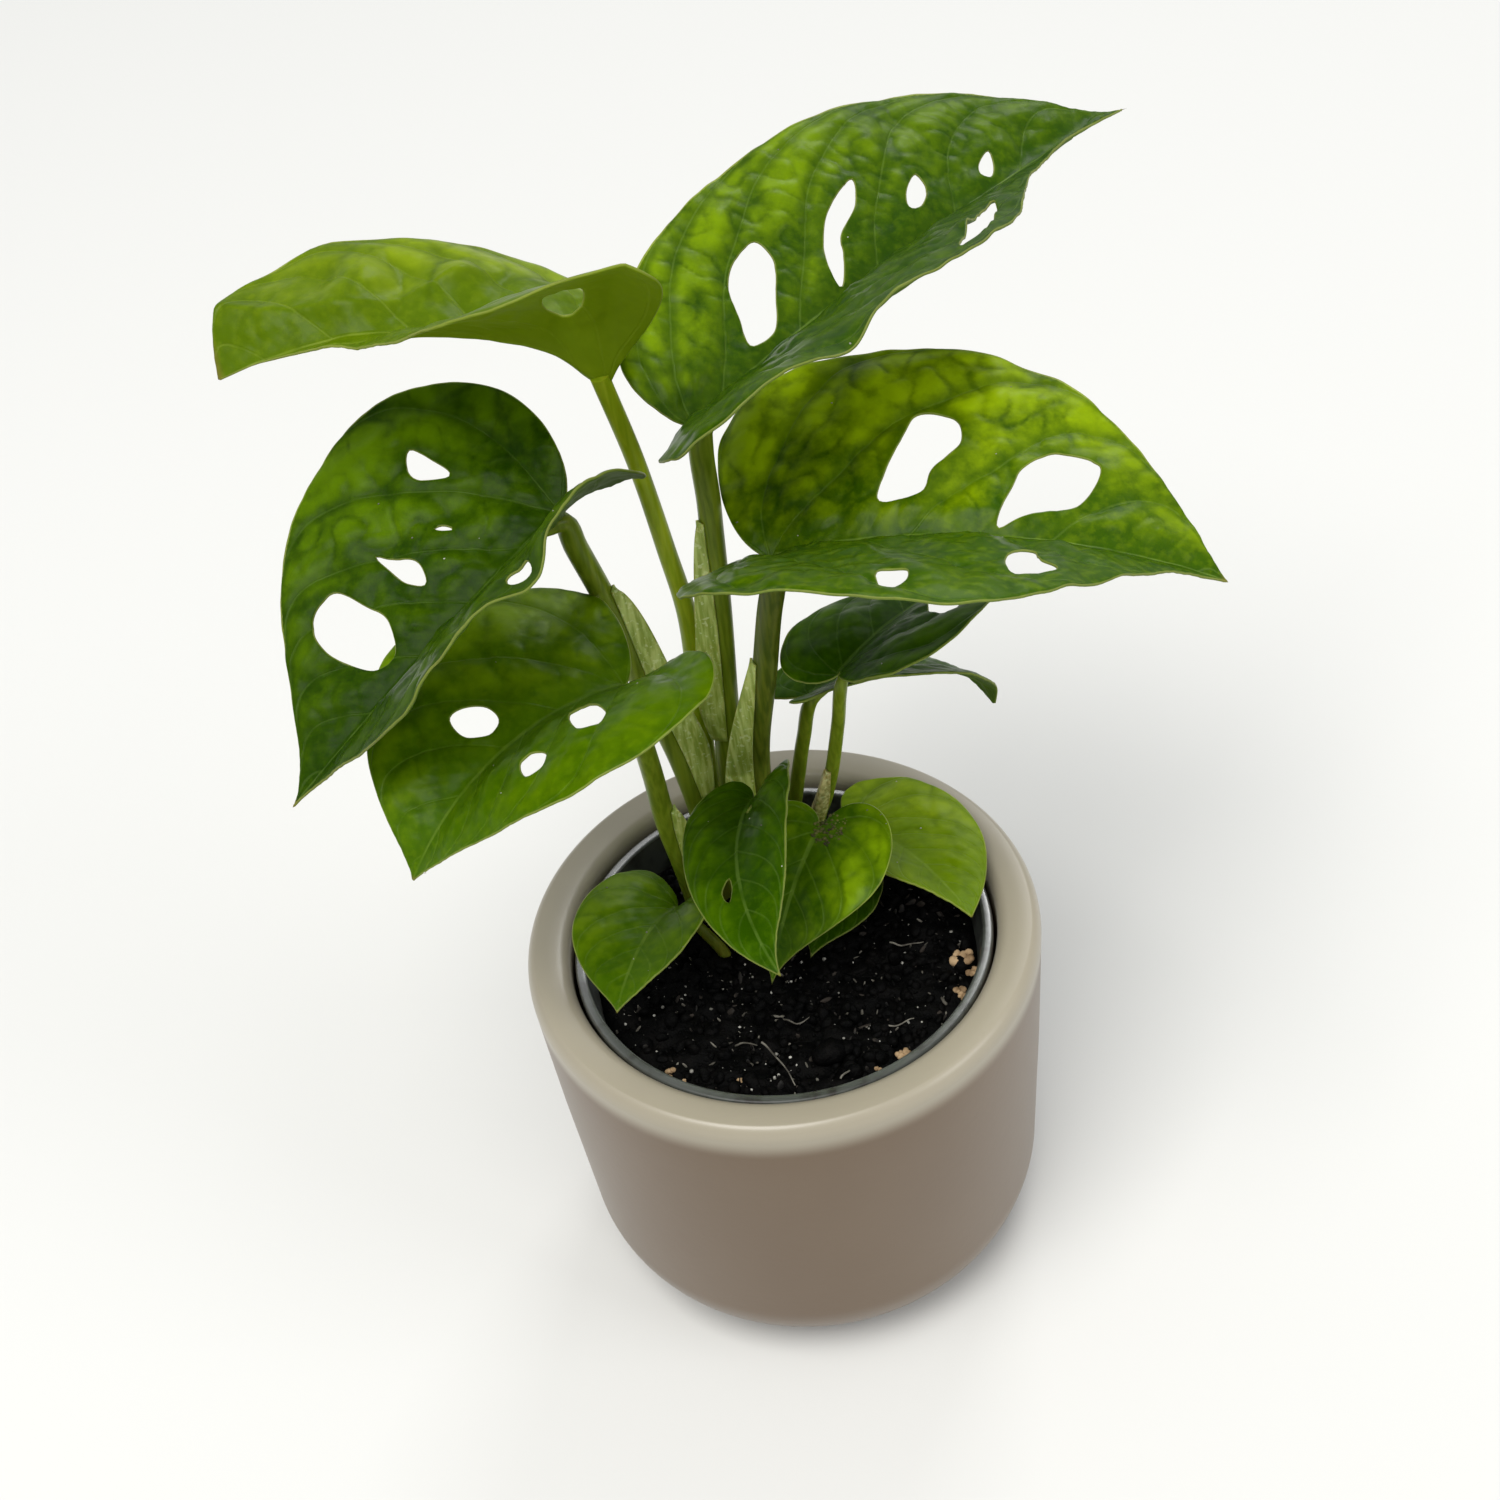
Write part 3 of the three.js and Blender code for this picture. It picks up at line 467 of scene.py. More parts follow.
def pot_outline():
    """The nursery pot's outline: floor with a drain hole, thin wall and rolled rim."""
    under_rim = POT_TOP - POT_RIM_HEIGHT
    inner_rim = POT_RIM - POT_RIM_WIDTH
    roll = 0.55
    return [
        (DRAIN, POT_FLOOR + POT_WALL),
        (DRAIN, POT_FLOOR),
        (POT_FOOT - 1, POT_FLOOR),
        (pot_wall_at(POT_FLOOR + 1), POT_FLOOR + 1),
        (pot_wall_at(under_rim - 3), under_rim - 3),
        (pot_wall_at(under_rim), under_rim),
        (POT_RIM - 0.2, under_rim + 0.1),
        (POT_RIM, under_rim + 0.4),
        *arc((POT_RIM - roll, POT_TOP - roll), roll, roll, 0, 90, 6),
        *arc((inner_rim + roll, POT_TOP - roll), roll, roll, 90, 180, 6),
        (pot_wall_at(under_rim) - POT_WALL, under_rim),
        (pot_wall_at(POT_FLOOR + POT_WALL) - POT_WALL, POT_FLOOR + POT_WALL),
        (DRAIN, POT_FLOOR + POT_WALL),
    ]


piece_from("nursery_pot_clear", turn(pot_outline(), 180, clear_plastic), "clear_plastic", "nursery_pot")

# %% [markdown]
# ## The shape of a leaf
#
# A leaf of this vine can be drawn flat and then folded. Flat, each half has its own margin, made of
# three smooth curves: back round the lobe, out to the widest place and on to the tip. Folded, the
# midrib bends through space, and each half rises from it at an angle and curls. A point of the leaf is
# therefore two numbers, how far along the midrib and how far across, and everything else follows.

# %% Leaf measures
@dataclass
class Half:
    """One half of a leaf: its flat margin, and how it is folded up from the midrib and curled.

    lobe_at, widest, shoulder and point are shares, fold and curl are degrees, and the rest are millimetres.
    """
    width: float
    lobe: float
    lobe_at: float
    widest: float
    shoulder: float
    point: float
    point_width: float
    fold: tuple
    curl: float
    lift: float
    first_vein: float
    vein_gap: float


@dataclass
class Leaf:
    """A leaf from its junction: where the midrib heads, how it bends, its two halves and its stalk.

    heading, rise and bank are degrees at the junction; swing, droop and twist are added up to the tip.
    patches says how much brightness the left and right halves have, and where the two differ the darker half
    holds painted shade; crease is where they part.
    sink is how far the blade is drawn down into its stalk, like a funnel.
    """
    name: str
    junction: tuple
    heading: float
    rise: float
    droop: float
    swing: float
    bank: float
    twist: float
    length: float
    left: Half
    right: Half
    holes: list
    foot_radius: float
    top_radius: float
    route: list
    tone: str
    patches: tuple = (1.0, 1.0)
    sink: float = 0.5
    crease: tuple = ((0, 0),)


leaves = [
    Leaf(
        "top_right", (-0.5, 14.8, 148.7), 39, 10, -12, -2, -2, 2, 91,
        Half(27, 3.5, 0.25, 0.42, 0.75, 0.25, 0.05, (34, 24), -9, 1, 5, 15.5),
        Half(29.5, 14, 0.7, 0.15, 0.65, 0.6, -0.05, (45, 25), -16, -1, 8, 15),
        [
            [(26, 14.5), (26, 11), (21.5, 6), (17.5, 2.5), (13.5, 3), (15.5, 7), (18, 11.5), (21.5, 14)],
            [(44.5, 13.5), (41.5, 10), (36, 7.5), (34, 5), (30, 1.5), (31, 5), (36, 10.5), (40, 12.5)],
            [(52.5, 8.5), (52.5, 7), (51, 5), (48.5, 4), (47.5, 5), (49, 7)],
            [(65, 5.5), (64, 3.5), (62, 2), (61, 3), (62, 4.5)],
            [(32, -25), (34.5, -22.5), (39, -19), (44.5, -15), (48.5, -13.5), (43, -19.5), (37.5, -23.5)],
        ],
        2.6, 1.7, [(-3.5, 21.5, 58), (-4, 20.2, 77), (-3.3, 19, 92), (-1.7, 17.6, 115), (-0.8, 16.4, 133.5)],
        "crown", (1.0, 0.15),
    ),
    Leaf(
        "right", (7, 6.5, 131), -11, 12, -33, -7, 0, -2, 61,
        Half(33, 7.5, 0.5, 0.35, 0.55, 0.15, 0.15, (31, 18), -18, 0, -1, 19),
        Half(32.5, 10, 0.45, 0.25, 0.55, 0.3, 0.05, (37, 21), -16, -1, 9, 20),
        [
            [
                (19, 19.5), (23.5, 19), (24.5, 14.5), (21, 9.5), (20, 6.5), (14.5, 5.5), (15.5, 10.5),
                (17.5, 16),
            ],
            [(36.5, 14.5), (42, 13.5), (41.5, 9), (39.5, 6), (33.5, 3.5), (30, 1.5), (31.5, 8), (32.5, 11)],
            [(17, -25.5), (17.5, -22.5), (20, -23), (20.5, -26), (18.5, -29)],
            [(31.5, -14), (33, -10.5), (34.5, -9.5), (35.5, -13), (37.5, -16.5), (35, -18.5), (32.5, -19.5)],
        ],
        2.3, 1.8, [(0.5, 15.5, 58), (0, 14.5, 72), (0.5, 12, 91), (3.3, 9.8, 108), (5.7, 7.7, 123)],
        "mature", (1.3, 0.1),
    ),
    Leaf(
        "top_left", (-12.7, 14.4, 161), 170, 24, -44, 6, 18, -45, 50,
        Half(23.5, 6, 0.55, 0.05, 0.45, 0.7, -0.05, (64, 4), -35, 2, 3, 10),
        Half(21, 3.5, 0.6, 0.25, 0.85, 0.02, 0.55, (22, 11), -28, 1, 3, 10),
        [[(6.5, 14), (3.6, 15.2), (2.9, 10.5), (4.4, 6.3), (6.4, 8.5)]],
        2.0, 1.3,
        [
            (-9.5, 22.5, 58), (-8, 23, 74), (-7.3, 21.6, 91), (-6.5, 20.2, 112), (-7.8, 18.4, 126.5),
            (-9.7, 16.3, 143.5),
        ],
        "young", (0.0, 1.0), 5.0,
        ((12, -14), (19.5, -9.6), (23, -7), (27, -5), (31, -4.2), (38, -5.2), (42, -6.4), (47, -9)),
    ),
    Leaf(
        "left", (-21, 13, 139), 214, -21, -6, -1, 1, 1, 53,
        Half(27.5, 10.5, 0.42, 0.45, 0.54, 0.35, 0, (41, 31), 5, -6, 4, 11),
        Half(33, 8.5, 0.42, 0.2, 0.55, 0.25, 0.15, (24, 23), -8, 2, 6.5, 10),
        [
            [(6.5, -22.5), (5.5, -19), (5.5, -15.5), (7, -16.5), (9, -19), (8.5, -21)],
            [(20.5, -15.5), (19.5, -13.5), (17.5, -10), (19, -7), (20.5, -9), (20.7, -12.5)],
            [
                (28, -16.5), (26.5, -11.5), (26, -7.5), (29, -3.5), (32, -4), (33.5, -7), (34.5, -11.5),
                (32.5, -16),
            ],
            [(12.5, -11.5), (11.5, -11), (11, -9.5), (12, -10.5)],
            [(10.5, 22), (12.5, 21.5), (14, 22.5), (13, 24), (11, 24)],
        ],
        2.5, 1.7,
        [
            (-8.5, 15, 58), (-9, 15, 74), (-11, 15.3, 89), (-14.4, 16, 104), (-17.4, 16, 120.5),
            (-19.8, 14.3, 132),
        ],
        "dark", (0.5, 1.0),
    ),
    Leaf(
        "lower_left", (-16.3, -3, 120.6), 205, 12, -61, 13, 7, -5, 40,
        Half(25, 7, 0.45, 0.2, 0.35, 0.2, 0.15, (32, 15), -27, 6, 6, 8.5),
        Half(25.5, 5, 0.55, 0.35, 0.55, 0.2, 0.15, (24, 28), -18, 3, 9, 9),
        [
            [(20.5, -9), (18.5, -8.7), (16.5, -6.5), (16.5, -4), (18.5, -3.3), (21, -5.5)],
            [(9, 4), (7, 6), (7.5, 12), (9, 14), (11, 13), (11, 9)],
            [(18.5, 7.5), (16.7, 8), (16, 10.5), (17.7, 11.8), (19.5, 11.3)],
        ],
        1.9, 1.5,
        [(-12.5, 11.5, 58), (-13.5, 9, 72), (-14.7, 6.2, 85), (-15.1, 3.2, 99), (-15.7, -0.6, 111.5)],
        "leafy", (0.25, 1.0),
    ),
    Leaf(
        "small_right", (13.9, 4.2, 110.8), 45, 8, -43, -3, -13, -1, 40,
        Half(12.5, 4.5, 0.4, 0.2, 0.45, 0.3, 0.1, (15, 5), -16, 0, 1, 7),
        Half(17, 2.5, 0.4, 0.2, 0.45, 0.3, 0.1, (23, 10), -15, 1, 1, 7),
        [[(19.5, -1.5), (22.5, -2), (21.5, -5.5), (17.5, -9.3), (12.9, -11.8), (12.7, -7.8), (16, -4.5)]],
        1.3, 1.0, [(7.2, 20.5, 58), (8.7, 19, 68), (10.2, 14.8, 77), (11.5, 10.5, 87), (12.9, 7.5, 98.3)],
        "small", (0.6, 0.6),
    ),
    Leaf(
        "small_back", (9.6, 14.3, 99), 16, 8, -64, 0, -22, 0, 36.5,
        Half(11.5, 6, 0.45, 0.2, 0.6, 0.15, 0.25, (15, 6), -10, 1, 1, 6),
        Half(9.5, 4, 0.45, 0.2, 0.6, 0.15, 0.25, (17, 2), -8, 1, 1, 6),
        [],
        1.3, 1.1, [(3.3, 22.5, 58), (5.8, 20, 74), (8, 17, 88)],
        "small", (0.5, 0.5),
    ),
    Leaf(
        "centre", (-1, 4.5, 88.4), 246, 14, -27, 48, 16, 1, 37,
        Half(11, 4, 0.45, 0.25, 0.6, 0.25, 0.1, (38, 21), -11, 0, 1, 6),
        Half(8.5, 3.5, 0.45, 0.2, 0.6, 0.1, 0.15, (22, 15), -13, 2, 1, 6),
        [
            [(4, 0.8), (5.5, 1.2), (6, 2.4), (4.6, 2.2)],
            [(18.5, -1.5), (20.5, -1.4), (22.8, -2.2), (21, -2.8)],
        ],
        1.2, 0.9, [(-5.5, 8.5, 58), (-6, 6.5, 71), (-4.3, 5, 82)],
        "small", (0.5, 0.9),
    ),
    Leaf(
        "heart", (8.4, 6.5, 78.5), 235, -11, -46, 6, -2, 1, 26,
        Half(13.5, 5.5, 0.4, 0.2, 0.4, 0.35, 0.1, (15, 13), -14, 2, 1, 5),
        Half(10, 2.5, 0.4, 0.2, 0.45, 0.3, 0.1, (19, 12), -12, 1, 1, 5),
        [],
        1.1, 0.8, [(1.5, 9.5, 58), (1.8, 9, 68), (4.5, 7.6, 74)],
        "heart",
    ),
    Leaf(
        "round_right", (14.6, 17.3, 66.7), 308, 14, -17, -20, -10, -8, 30,
        Half(14, 7.5, 0.4, 0.25, 0.5, 0.1, 0.15, (20, 8), -13, 1, 1, 5),
        Half(12, 3, 0.45, 0.2, 0.45, 0.2, 0.1, (19, 13), -13, 1, 1, 5),
        [],
        1.1, 0.8, [(9.5, 15.5, 58), (10.8, 16.6, 62), (13.2, 17.3, 64.8)],
        "fresh",
    ),
    Leaf(
        "round_left", (-16, 4, 68.5), 236, 22, -41, 15, 6, 3, 23,
        Half(10, 4, 0.5, 0.25, 0.55, 0.2, 0.15, (29, 12), -9, 1, 1, 5),
        Half(12, 4, 0.5, 0.3, 0.6, 0.2, 0.15, (29, 10), -12, 2, 1, 5),
        [],
        1.1, 0.8, [(-9.4, 2, 58), (-11.6, 2.6, 62.5), (-14.3, 3.6, 66.5)],
        "leafy", (0.6, 0.6),
    ),
    Leaf(
        "low", (11.6, 7, 65.8), 236, -2, -20, 4, 0, 0, 15.5,
        Half(7, 3, 0.45, 0.25, 0.45, 0.3, 0.1, (14, 8), -12, 0, 1, 4),
        Half(7, 3.5, 0.45, 0.25, 0.45, 0.3, 0.1, (14, 8), -12, 0, 1, 4),
        [],
        1.0, 0.7, [(11.5, 9.5, 58), (12, 8.4, 62)],
        "small", (0.3, 0.3),
    ),
]

# %% [markdown]
# ## Curves
#
# Three kinds of curve are enough for the whole plant: one that passes through chosen points, for stalks
# and holes, one that spaces points evenly, because even points make even triangles, and a Bezier curve,
# whose handles give a leaf's margin its full, taut look with few numbers.

# %% Curves
def smooth_path(points, closed=False, share=12):
    """A centripetal Catmull-Rom curve through the points, with that many points to each stretch."""
    points = np.asarray(points, float)
    if closed:
        points = np.vstack([points[-1], points, points[:2]])
    else:
        points = np.vstack([2 * points[0] - points[1], points, 2 * points[-1] - points[-2]])
    made = []
    for p0, p1, p2, p3 in zip(points, points[1:], points[2:], points[3:]):
        t0, t1, t2 = (max(np.linalg.norm(b - a), 1e-6) ** 0.5 for a, b in ((p0, p1), (p1, p2), (p2, p3)))
        start = ((p1 - p0) / t0 - (p2 - p0) / (t0 + t1) + (p2 - p1) / t1) * t1
        end = ((p2 - p1) / t1 - (p3 - p1) / (t1 + t2) + (p3 - p2) / t2) * t1
        u = np.linspace(0, 1, share, endpoint=False)[:, None]
        held = (2 * u**3 - 3 * u**2 + 1) * p1 + (3 * u**2 - 2 * u**3) * p2
        made.append(held + (u**3 - 2 * u**2 + u) * start + (u**3 - u**2) * end)
    if not closed:
        made.append(points[-2:-1])
    return np.vstack(made)


def evenly(points, gap, closed=False):
    """Points at equal distances, about a gap apart, along a polyline."""
    points = np.asarray(points, float)
    if closed:
        points = np.vstack([points, points[:1]])
    reach = np.concatenate([[0], np.cumsum(np.linalg.norm(np.diff(points, axis=0), axis=1))])
    count = max(3, round(reach[-1] / gap))
    places = np.linspace(0, reach[-1], count + 1)
    made = np.stack([np.interp(places, reach, column) for column in points.T], axis=1)
    return made[:-1] if closed else made


def bezier(a, b, c, d, count=60):
    """Points of a cubic Bezier curve."""
    u = np.linspace(0, 1, count)[:, None]
    a, b, c, d = (np.asarray(p, float) for p in (a, b, c, d))
    return (1 - u) ** 3 * a + 3 * (1 - u) ** 2 * u * b + 3 * (1 - u) * u**2 * c + u**3 * d


def margin_of(leaf, side):
    """The flat margin of one half, from the sinus round the lobe to the tip."""
    half = leaf.left if side > 0 else leaf.right
    width, lobe, length = half.width, half.lobe, leaf.length
    widest = half.widest * length
    back_at = half.lobe_at * width
    shoulder = widest + (length - widest) * half.shoulder
    tip = length - half.point * (length - widest)
    mid_lobe = 0.45 * back_at + 0.55 * width
    full = widest - 0.55 * (widest + lobe)
    curve = np.vstack([
        bezier((0, 0), (-0.55 * lobe, 0.02 * width), (-lobe, 0.45 * back_at), (-lobe, back_at)),
        bezier((-lobe, back_at), (-lobe, mid_lobe), (full, width), (widest, width)),
        bezier((widest, width), (shoulder, width), (tip, half.point_width * width), (length, 0)),
    ])
    curve[:, 1] = side * np.maximum(curve[:, 1], 0.05)
    curve[0, 1] = 0
    curve[-1, 1] = 0
    return curve


margin_points = sum(len(margin_of(leaf, side)) for leaf in leaves for side in (1, -1))
print("points on all the margins:", margin_points)

# %% [markdown]
# ## Folding a flat leaf
#
# A real leaf grows nearly flat and is then bent, so this one is drawn flat and folded. Its midrib becomes
# a curve in space that carries three directions with it: along, across and up. Each half turns up from
# the midrib by its own angle and curls as a circle does, which keeps every distance on the leaf true.
# Moving points by hand could look the same, but the holes and veins would stretch.

# %% Folding a flat leaf
MIDRIB_STEPS = 160
VALLEY = 0.8
FUNNEL = 2.5


def stalk_direction(leaf):
    """The direction in which the stalk reaches the junction."""
    way = np.subtract(leaf.junction, leaf.route[-1])
    return way / np.linalg.norm(way)


def frames_of(leaf):
    """Places and directions along the midrib: where it is, along it, across it and up from it."""
    u = np.linspace(0, 1, MIDRIB_STEPS + 1)
    slope = np.radians(leaf.rise + leaf.droop * u)
    yaw = np.radians(leaf.heading + leaf.swing * u)
    roll = np.radians(leaf.bank + leaf.twist * u)[:, None]
    along = np.stack([np.cos(slope) * np.cos(yaw), np.cos(slope) * np.sin(yaw), np.sin(slope)], axis=1)
    level = np.stack([-np.sin(yaw), np.cos(yaw), 0 * yaw], axis=1)
    across = level * np.cos(roll) + np.cross(along, level) * np.sin(roll)
    steps = (along[:-1] + along[1:]) * leaf.length / MIDRIB_STEPS / 2
    at = np.vstack([np.zeros(3), np.cumsum(steps, axis=0)]) + np.array(leaf.junction)
    return np.hstack([at, along, across, np.cross(along, across)])


def on_leaf(leaf, frames, s, t):
    """The points of the folded leaf at s along its midrib and t across it, t being positive to the left."""
    s, t = np.asarray(s, float), np.asarray(t, float)
    left = t >= 0
    measure = {key: np.where(left, getattr(leaf.left, key), getattr(leaf.right, key))
               for key in ("width", "curl", "lift")}
    fold_start = np.where(left, leaf.left.fold[0], leaf.right.fold[0])
    fold_end = np.where(left, leaf.left.fold[1], leaf.right.fold[1])
    u = np.clip(s / leaf.length, 0, 1)
    shares = np.linspace(0, 1, MIDRIB_STEPS + 1)
    frame_here = np.stack([np.interp(u, shares, column) for column in frames.T], axis=-1)
    at, along, across, rising = np.split(frame_here, 4, axis=-1)
    fold = np.radians(fold_start + (fold_end - fold_start) * u)
    bend = np.radians(measure["curl"]) / measure["width"]
    distance = np.abs(t)
    out = (np.sin(fold + bend * distance) - np.sin(fold)) / bend
    rise = (np.cos(fold) - np.cos(fold + bend * distance)) / bend
    rise = rise + np.sin(fold) * (np.sqrt(distance**2 + VALLEY**2) - distance) * (s >= 0)
    rise = rise + np.where(s < 0, measure["lift"] * (s / 10) ** 2, 0)
    drawn = leaf.sink / (1 + (s**2 + t**2) / FUNNEL**2)
    return (at + along * np.minimum(s, 0)[..., None] + across * (np.sign(t) * out)[..., None]
            + rising * rise[..., None] - stalk_direction(leaf) * drawn[..., None])


print("leaves:", len(leaves), "holes:", sum(len(leaf.holes) for leaf in leaves))

# %% [markdown]
# ## Veins and relief
#
# The side veins leave the midrib at a steady angle and sweep towards the tip, and those of the lobes fan
# out of the junction. One number, counted up from vein to vein, holds all of that: it is whole on a vein
# and a half midway. The relief, the colours and the fine lines of the material all read that number.

# %% Vein numbers and relief
VEIN_SLANT = 0.85
VEIN_ARCH = 0.12
FAN_ANGLE = math.radians(42)

# Heights of the relief on a large leaf, in millimetres.
PUCKER = 0.7
SWELL = 0.4
BLISTER = 0.28
FINE_BLISTER = 0.13
CUSHION = 0.2
RUFFLE = 0.28
PLEAT = 0.1
CREASE = 1.2
GRAIN = 0.045

# Bumps and hollows that single leaves have: where along and across, how wide each way, and how high.
DENTS = {
    "top_right": [(8, -30, 5, 4, -2.5), (19, -33, 6, 3.5, 3.0), (80, -5, 9, 4, 3.0)],
    "top_left": [
        (41, -14, 4, 4.5, -1.8), (47.5, -8.5, 3, 4, 1.0), (31, -8, 3, 6, 1.2), (25, -7, 2.5, 5, -1.2),
        (36, -10, 2.2, 4, -0.9), (18, -12, 3, 4, 1.0),
    ],
    "left": [(12, 27, 4.5, 5, -3.2)],
    "small_back": [(36.5, 0, 3.4, 8, -2.0)],
}


def outward_share(leaf, s, t):
    """How far out towards the margin each flat point lies, from 0 on the midrib to 1."""
    reach = np.zeros_like(s)
    for side in (1, -1):
        curve = margin_of(leaf, side)
        outer = curve[np.argmin(curve[:, 0]):]
        order = np.argsort(outer[:, 0])
        across = np.interp(s, outer[order, 0], np.abs(outer[order, 1]))
        reach = np.where((t >= 0) == (side > 0), across, reach)
    return np.clip(np.abs(t) / np.maximum(reach, 0.3), 0, 0.999)


def vein_number(leaf, s, t):
    """A number that is whole on each side vein and grows towards the tip."""
    left = t >= 0
    first = np.where(left, leaf.left.first_vein, leaf.right.first_vein)
    gap = np.where(left, leaf.left.vein_gap, leaf.right.vein_gap)
    arch = -np.log(1 - (0.98 * outward_share(leaf, s, t)) ** 2)
    swept = s - VEIN_ARCH * leaf.length * arch + 0.05 * gap * waves(s / 5, t / 5, 11)
    root = swept - VEIN_SLANT * np.abs(t)
    angle = np.arctan2(np.abs(t), swept)
    fan_start = math.atan(1 / VEIN_SLANT)
    fanned = -first / gap - (angle - fan_start) / FAN_ANGLE
    return np.where(root >= 0, (root - first) / gap, fanned)


def vein_spacing(leaf, s, t):
    """How many millimetres apart the veins are there."""
    small = 0.02
    side = np.where(t >= 0, 1, -1)
    across = vein_number(leaf, s, t + side * small) - vein_number(leaf, s, t)
    along = vein_number(leaf, s + small, t) - vein_number(leaf, s - small, t)
    slope = np.hypot(across / small, along / (2 * small))
    return 1 / np.clip(slope, 0.02, 3)


def cushioning(s, t, seed):
    """How cushion-like the surface is: 0 in the sharp furrows between the cushions, 1 on top of them."""
    bent = 0.5 * waves(s / 2.4, t / 2.4, seed + 20)
    return np.minimum(1.7 * np.abs(waves(s / 1.15 + bent, t / 1.3 - bent, seed + 30, 9)), 1)


def crease_line(leaf, s):
    """How far across the leaf its crease lies: on the midrib, unless the leaf has a crease of its own."""
    return np.interp(s, *np.transpose(leaf.crease))


def relief(leaf, s, t, edge, seed):
    """How far the leaf's surface stands above its plain folded form, in millimetres."""
    size = min(1.0, leaf.length / 55)
    number = vein_number(leaf, s, t)
    from_vein = np.abs((number + 0.5) % 1 - 0.5) * vein_spacing(leaf, s, t)
    from_rib = np.clip(np.abs(t) / 4, 0, 1)
    from_edge = np.clip(edge / 5, 0, 1)
    quilt = 1 - np.exp(-from_vein / 2.2)
    puckers = PUCKER * size * quilt * from_rib * (0.4 + 0.6 * from_edge)
    swell = SWELL * size * waves(s / 7, t / 7, seed) * from_rib
    blisters = BLISTER * size * waves(s / 2.1, t / 2.1, seed + 50) * from_rib
    blisters = blisters + FINE_BLISTER * size * waves(s / 1.15, t / 1.15, seed + 60) * from_rib
    cushions = CUSHION * max(0.55, size) * cushioning(s, t, seed) * from_rib * from_edge
    fine = GRAIN * waves(s / 0.65, t / 0.65, seed + 70)
    ruffle = RUFFLE * size * (1 - from_edge) * waves(s / 4.5, t / 4.5, seed + 90) * from_rib
    pleats = PLEAT * np.exp(-np.abs(t) / 5) * np.sin(3.1 * (s - VEIN_SLANT * np.abs(t))) * from_rib
    dents = sum(
        height * np.exp(-((s - s0) / reach_s) ** 2 - ((t - t0) / reach_t) ** 2)
        for s0, t0, reach_s, reach_t, height in DENTS.get(leaf.name, [])
    )
    crease = 0
    if len(leaf.crease) > 1:
        from_crease = (t - crease_line(leaf, s)) / 1.5
        crease = CREASE * np.exp(-np.sqrt(from_crease**2 + 0.04)) * np.clip((s - 12) / 8, 0, 1)
    return puckers + swell + blisters + cushions + fine + ruffle + pleats + dents + crease


print("leaves with dents of their own:", ", ".join(DENTS))

# %% [markdown]
# ## The leaf's mesh
#
# The flat leaf is filled with triangles before it is folded. Its margin and holes are lines that the
# triangles must keep, two rings of points beside them let the edge be rounded, and an even grid fills the
# rest. The folded sheet is then doubled: the upper face and the under face share their edge points, so the
# leaf is a closed, thin solid, with a midrib that stands out underneath. A Solidify modifier would be
# quicker, but it makes no midrib and no rounded edge.

# %% Leaf mesh
GRID = 0.55
ROW_GAP = GRID * 0.866
RIM_RINGS = (0.12, 0.36)
RIB_ROWS = (0, 0.35, -0.35, 0.8, -0.8, 1.4, -1.4)
RIB_CLEAR = 1.75
RIB_GAP = 0.5
HALF_THICKNESS = 0.2
RIM_ROUND = 0.25


def inside(points, loop):
    """Which of the flat points lie inside a closed loop."""
    x, y = points[:, 0:1], points[:, 1:2]
    x0, y0 = loop[:, 0], loop[:, 1]
    x1, y1 = np.roll(x0, -1), np.roll(y0, -1)
    crosses = (y0 > y) != (y1 > y)
    with np.errstate(divide="ignore", invalid="ignore"):
        left_of = x < (x1 - x0) * (y - y0) / (y1 - y0) + x0
    return np.sum(crosses & left_of, axis=1) % 2 == 1


def distance_to(points, loops):
    """How far each flat point is from the nearest of the loops."""
    nearest = np.full(len(points), np.inf)
    for loop in loops:
        start, end = loop, np.roll(loop, -1, axis=0)
        side = end - start
        span = np.maximum(np.sum(side**2, axis=1), 1e-12)
        for some in np.array_split(np.arange(len(points)), max(1, len(points) // 2000)):
            offset = points[some][:, None, :] - start
            share = np.clip(np.sum(offset * side, axis=2) / span, 0, 1)
            gap = offset - share[..., None] * side
            nearest[some] = np.minimum(nearest[some], np.sqrt(np.min(np.sum(gap**2, axis=2), axis=1)))
    return nearest


def loops_of(leaf):
    """The flat margin and the flat edges of the holes, as closed loops of evenly spaced points."""
    margin = np.vstack([margin_of(leaf, 1)[:-1], margin_of(leaf, -1)[:0:-1]])
    holes = [evenly(smooth_path(hole, closed=True), 0.5, closed=True) for hole in leaf.holes]
    return [evenly(margin, 0.5, closed=True), *holes]


def row_of(start, end, gap, across):
    """Points at even gaps along one row of the flat leaf."""
    along = np.arange(start, end, gap)
    return np.stack([along, np.full(len(along), across)], axis=1)


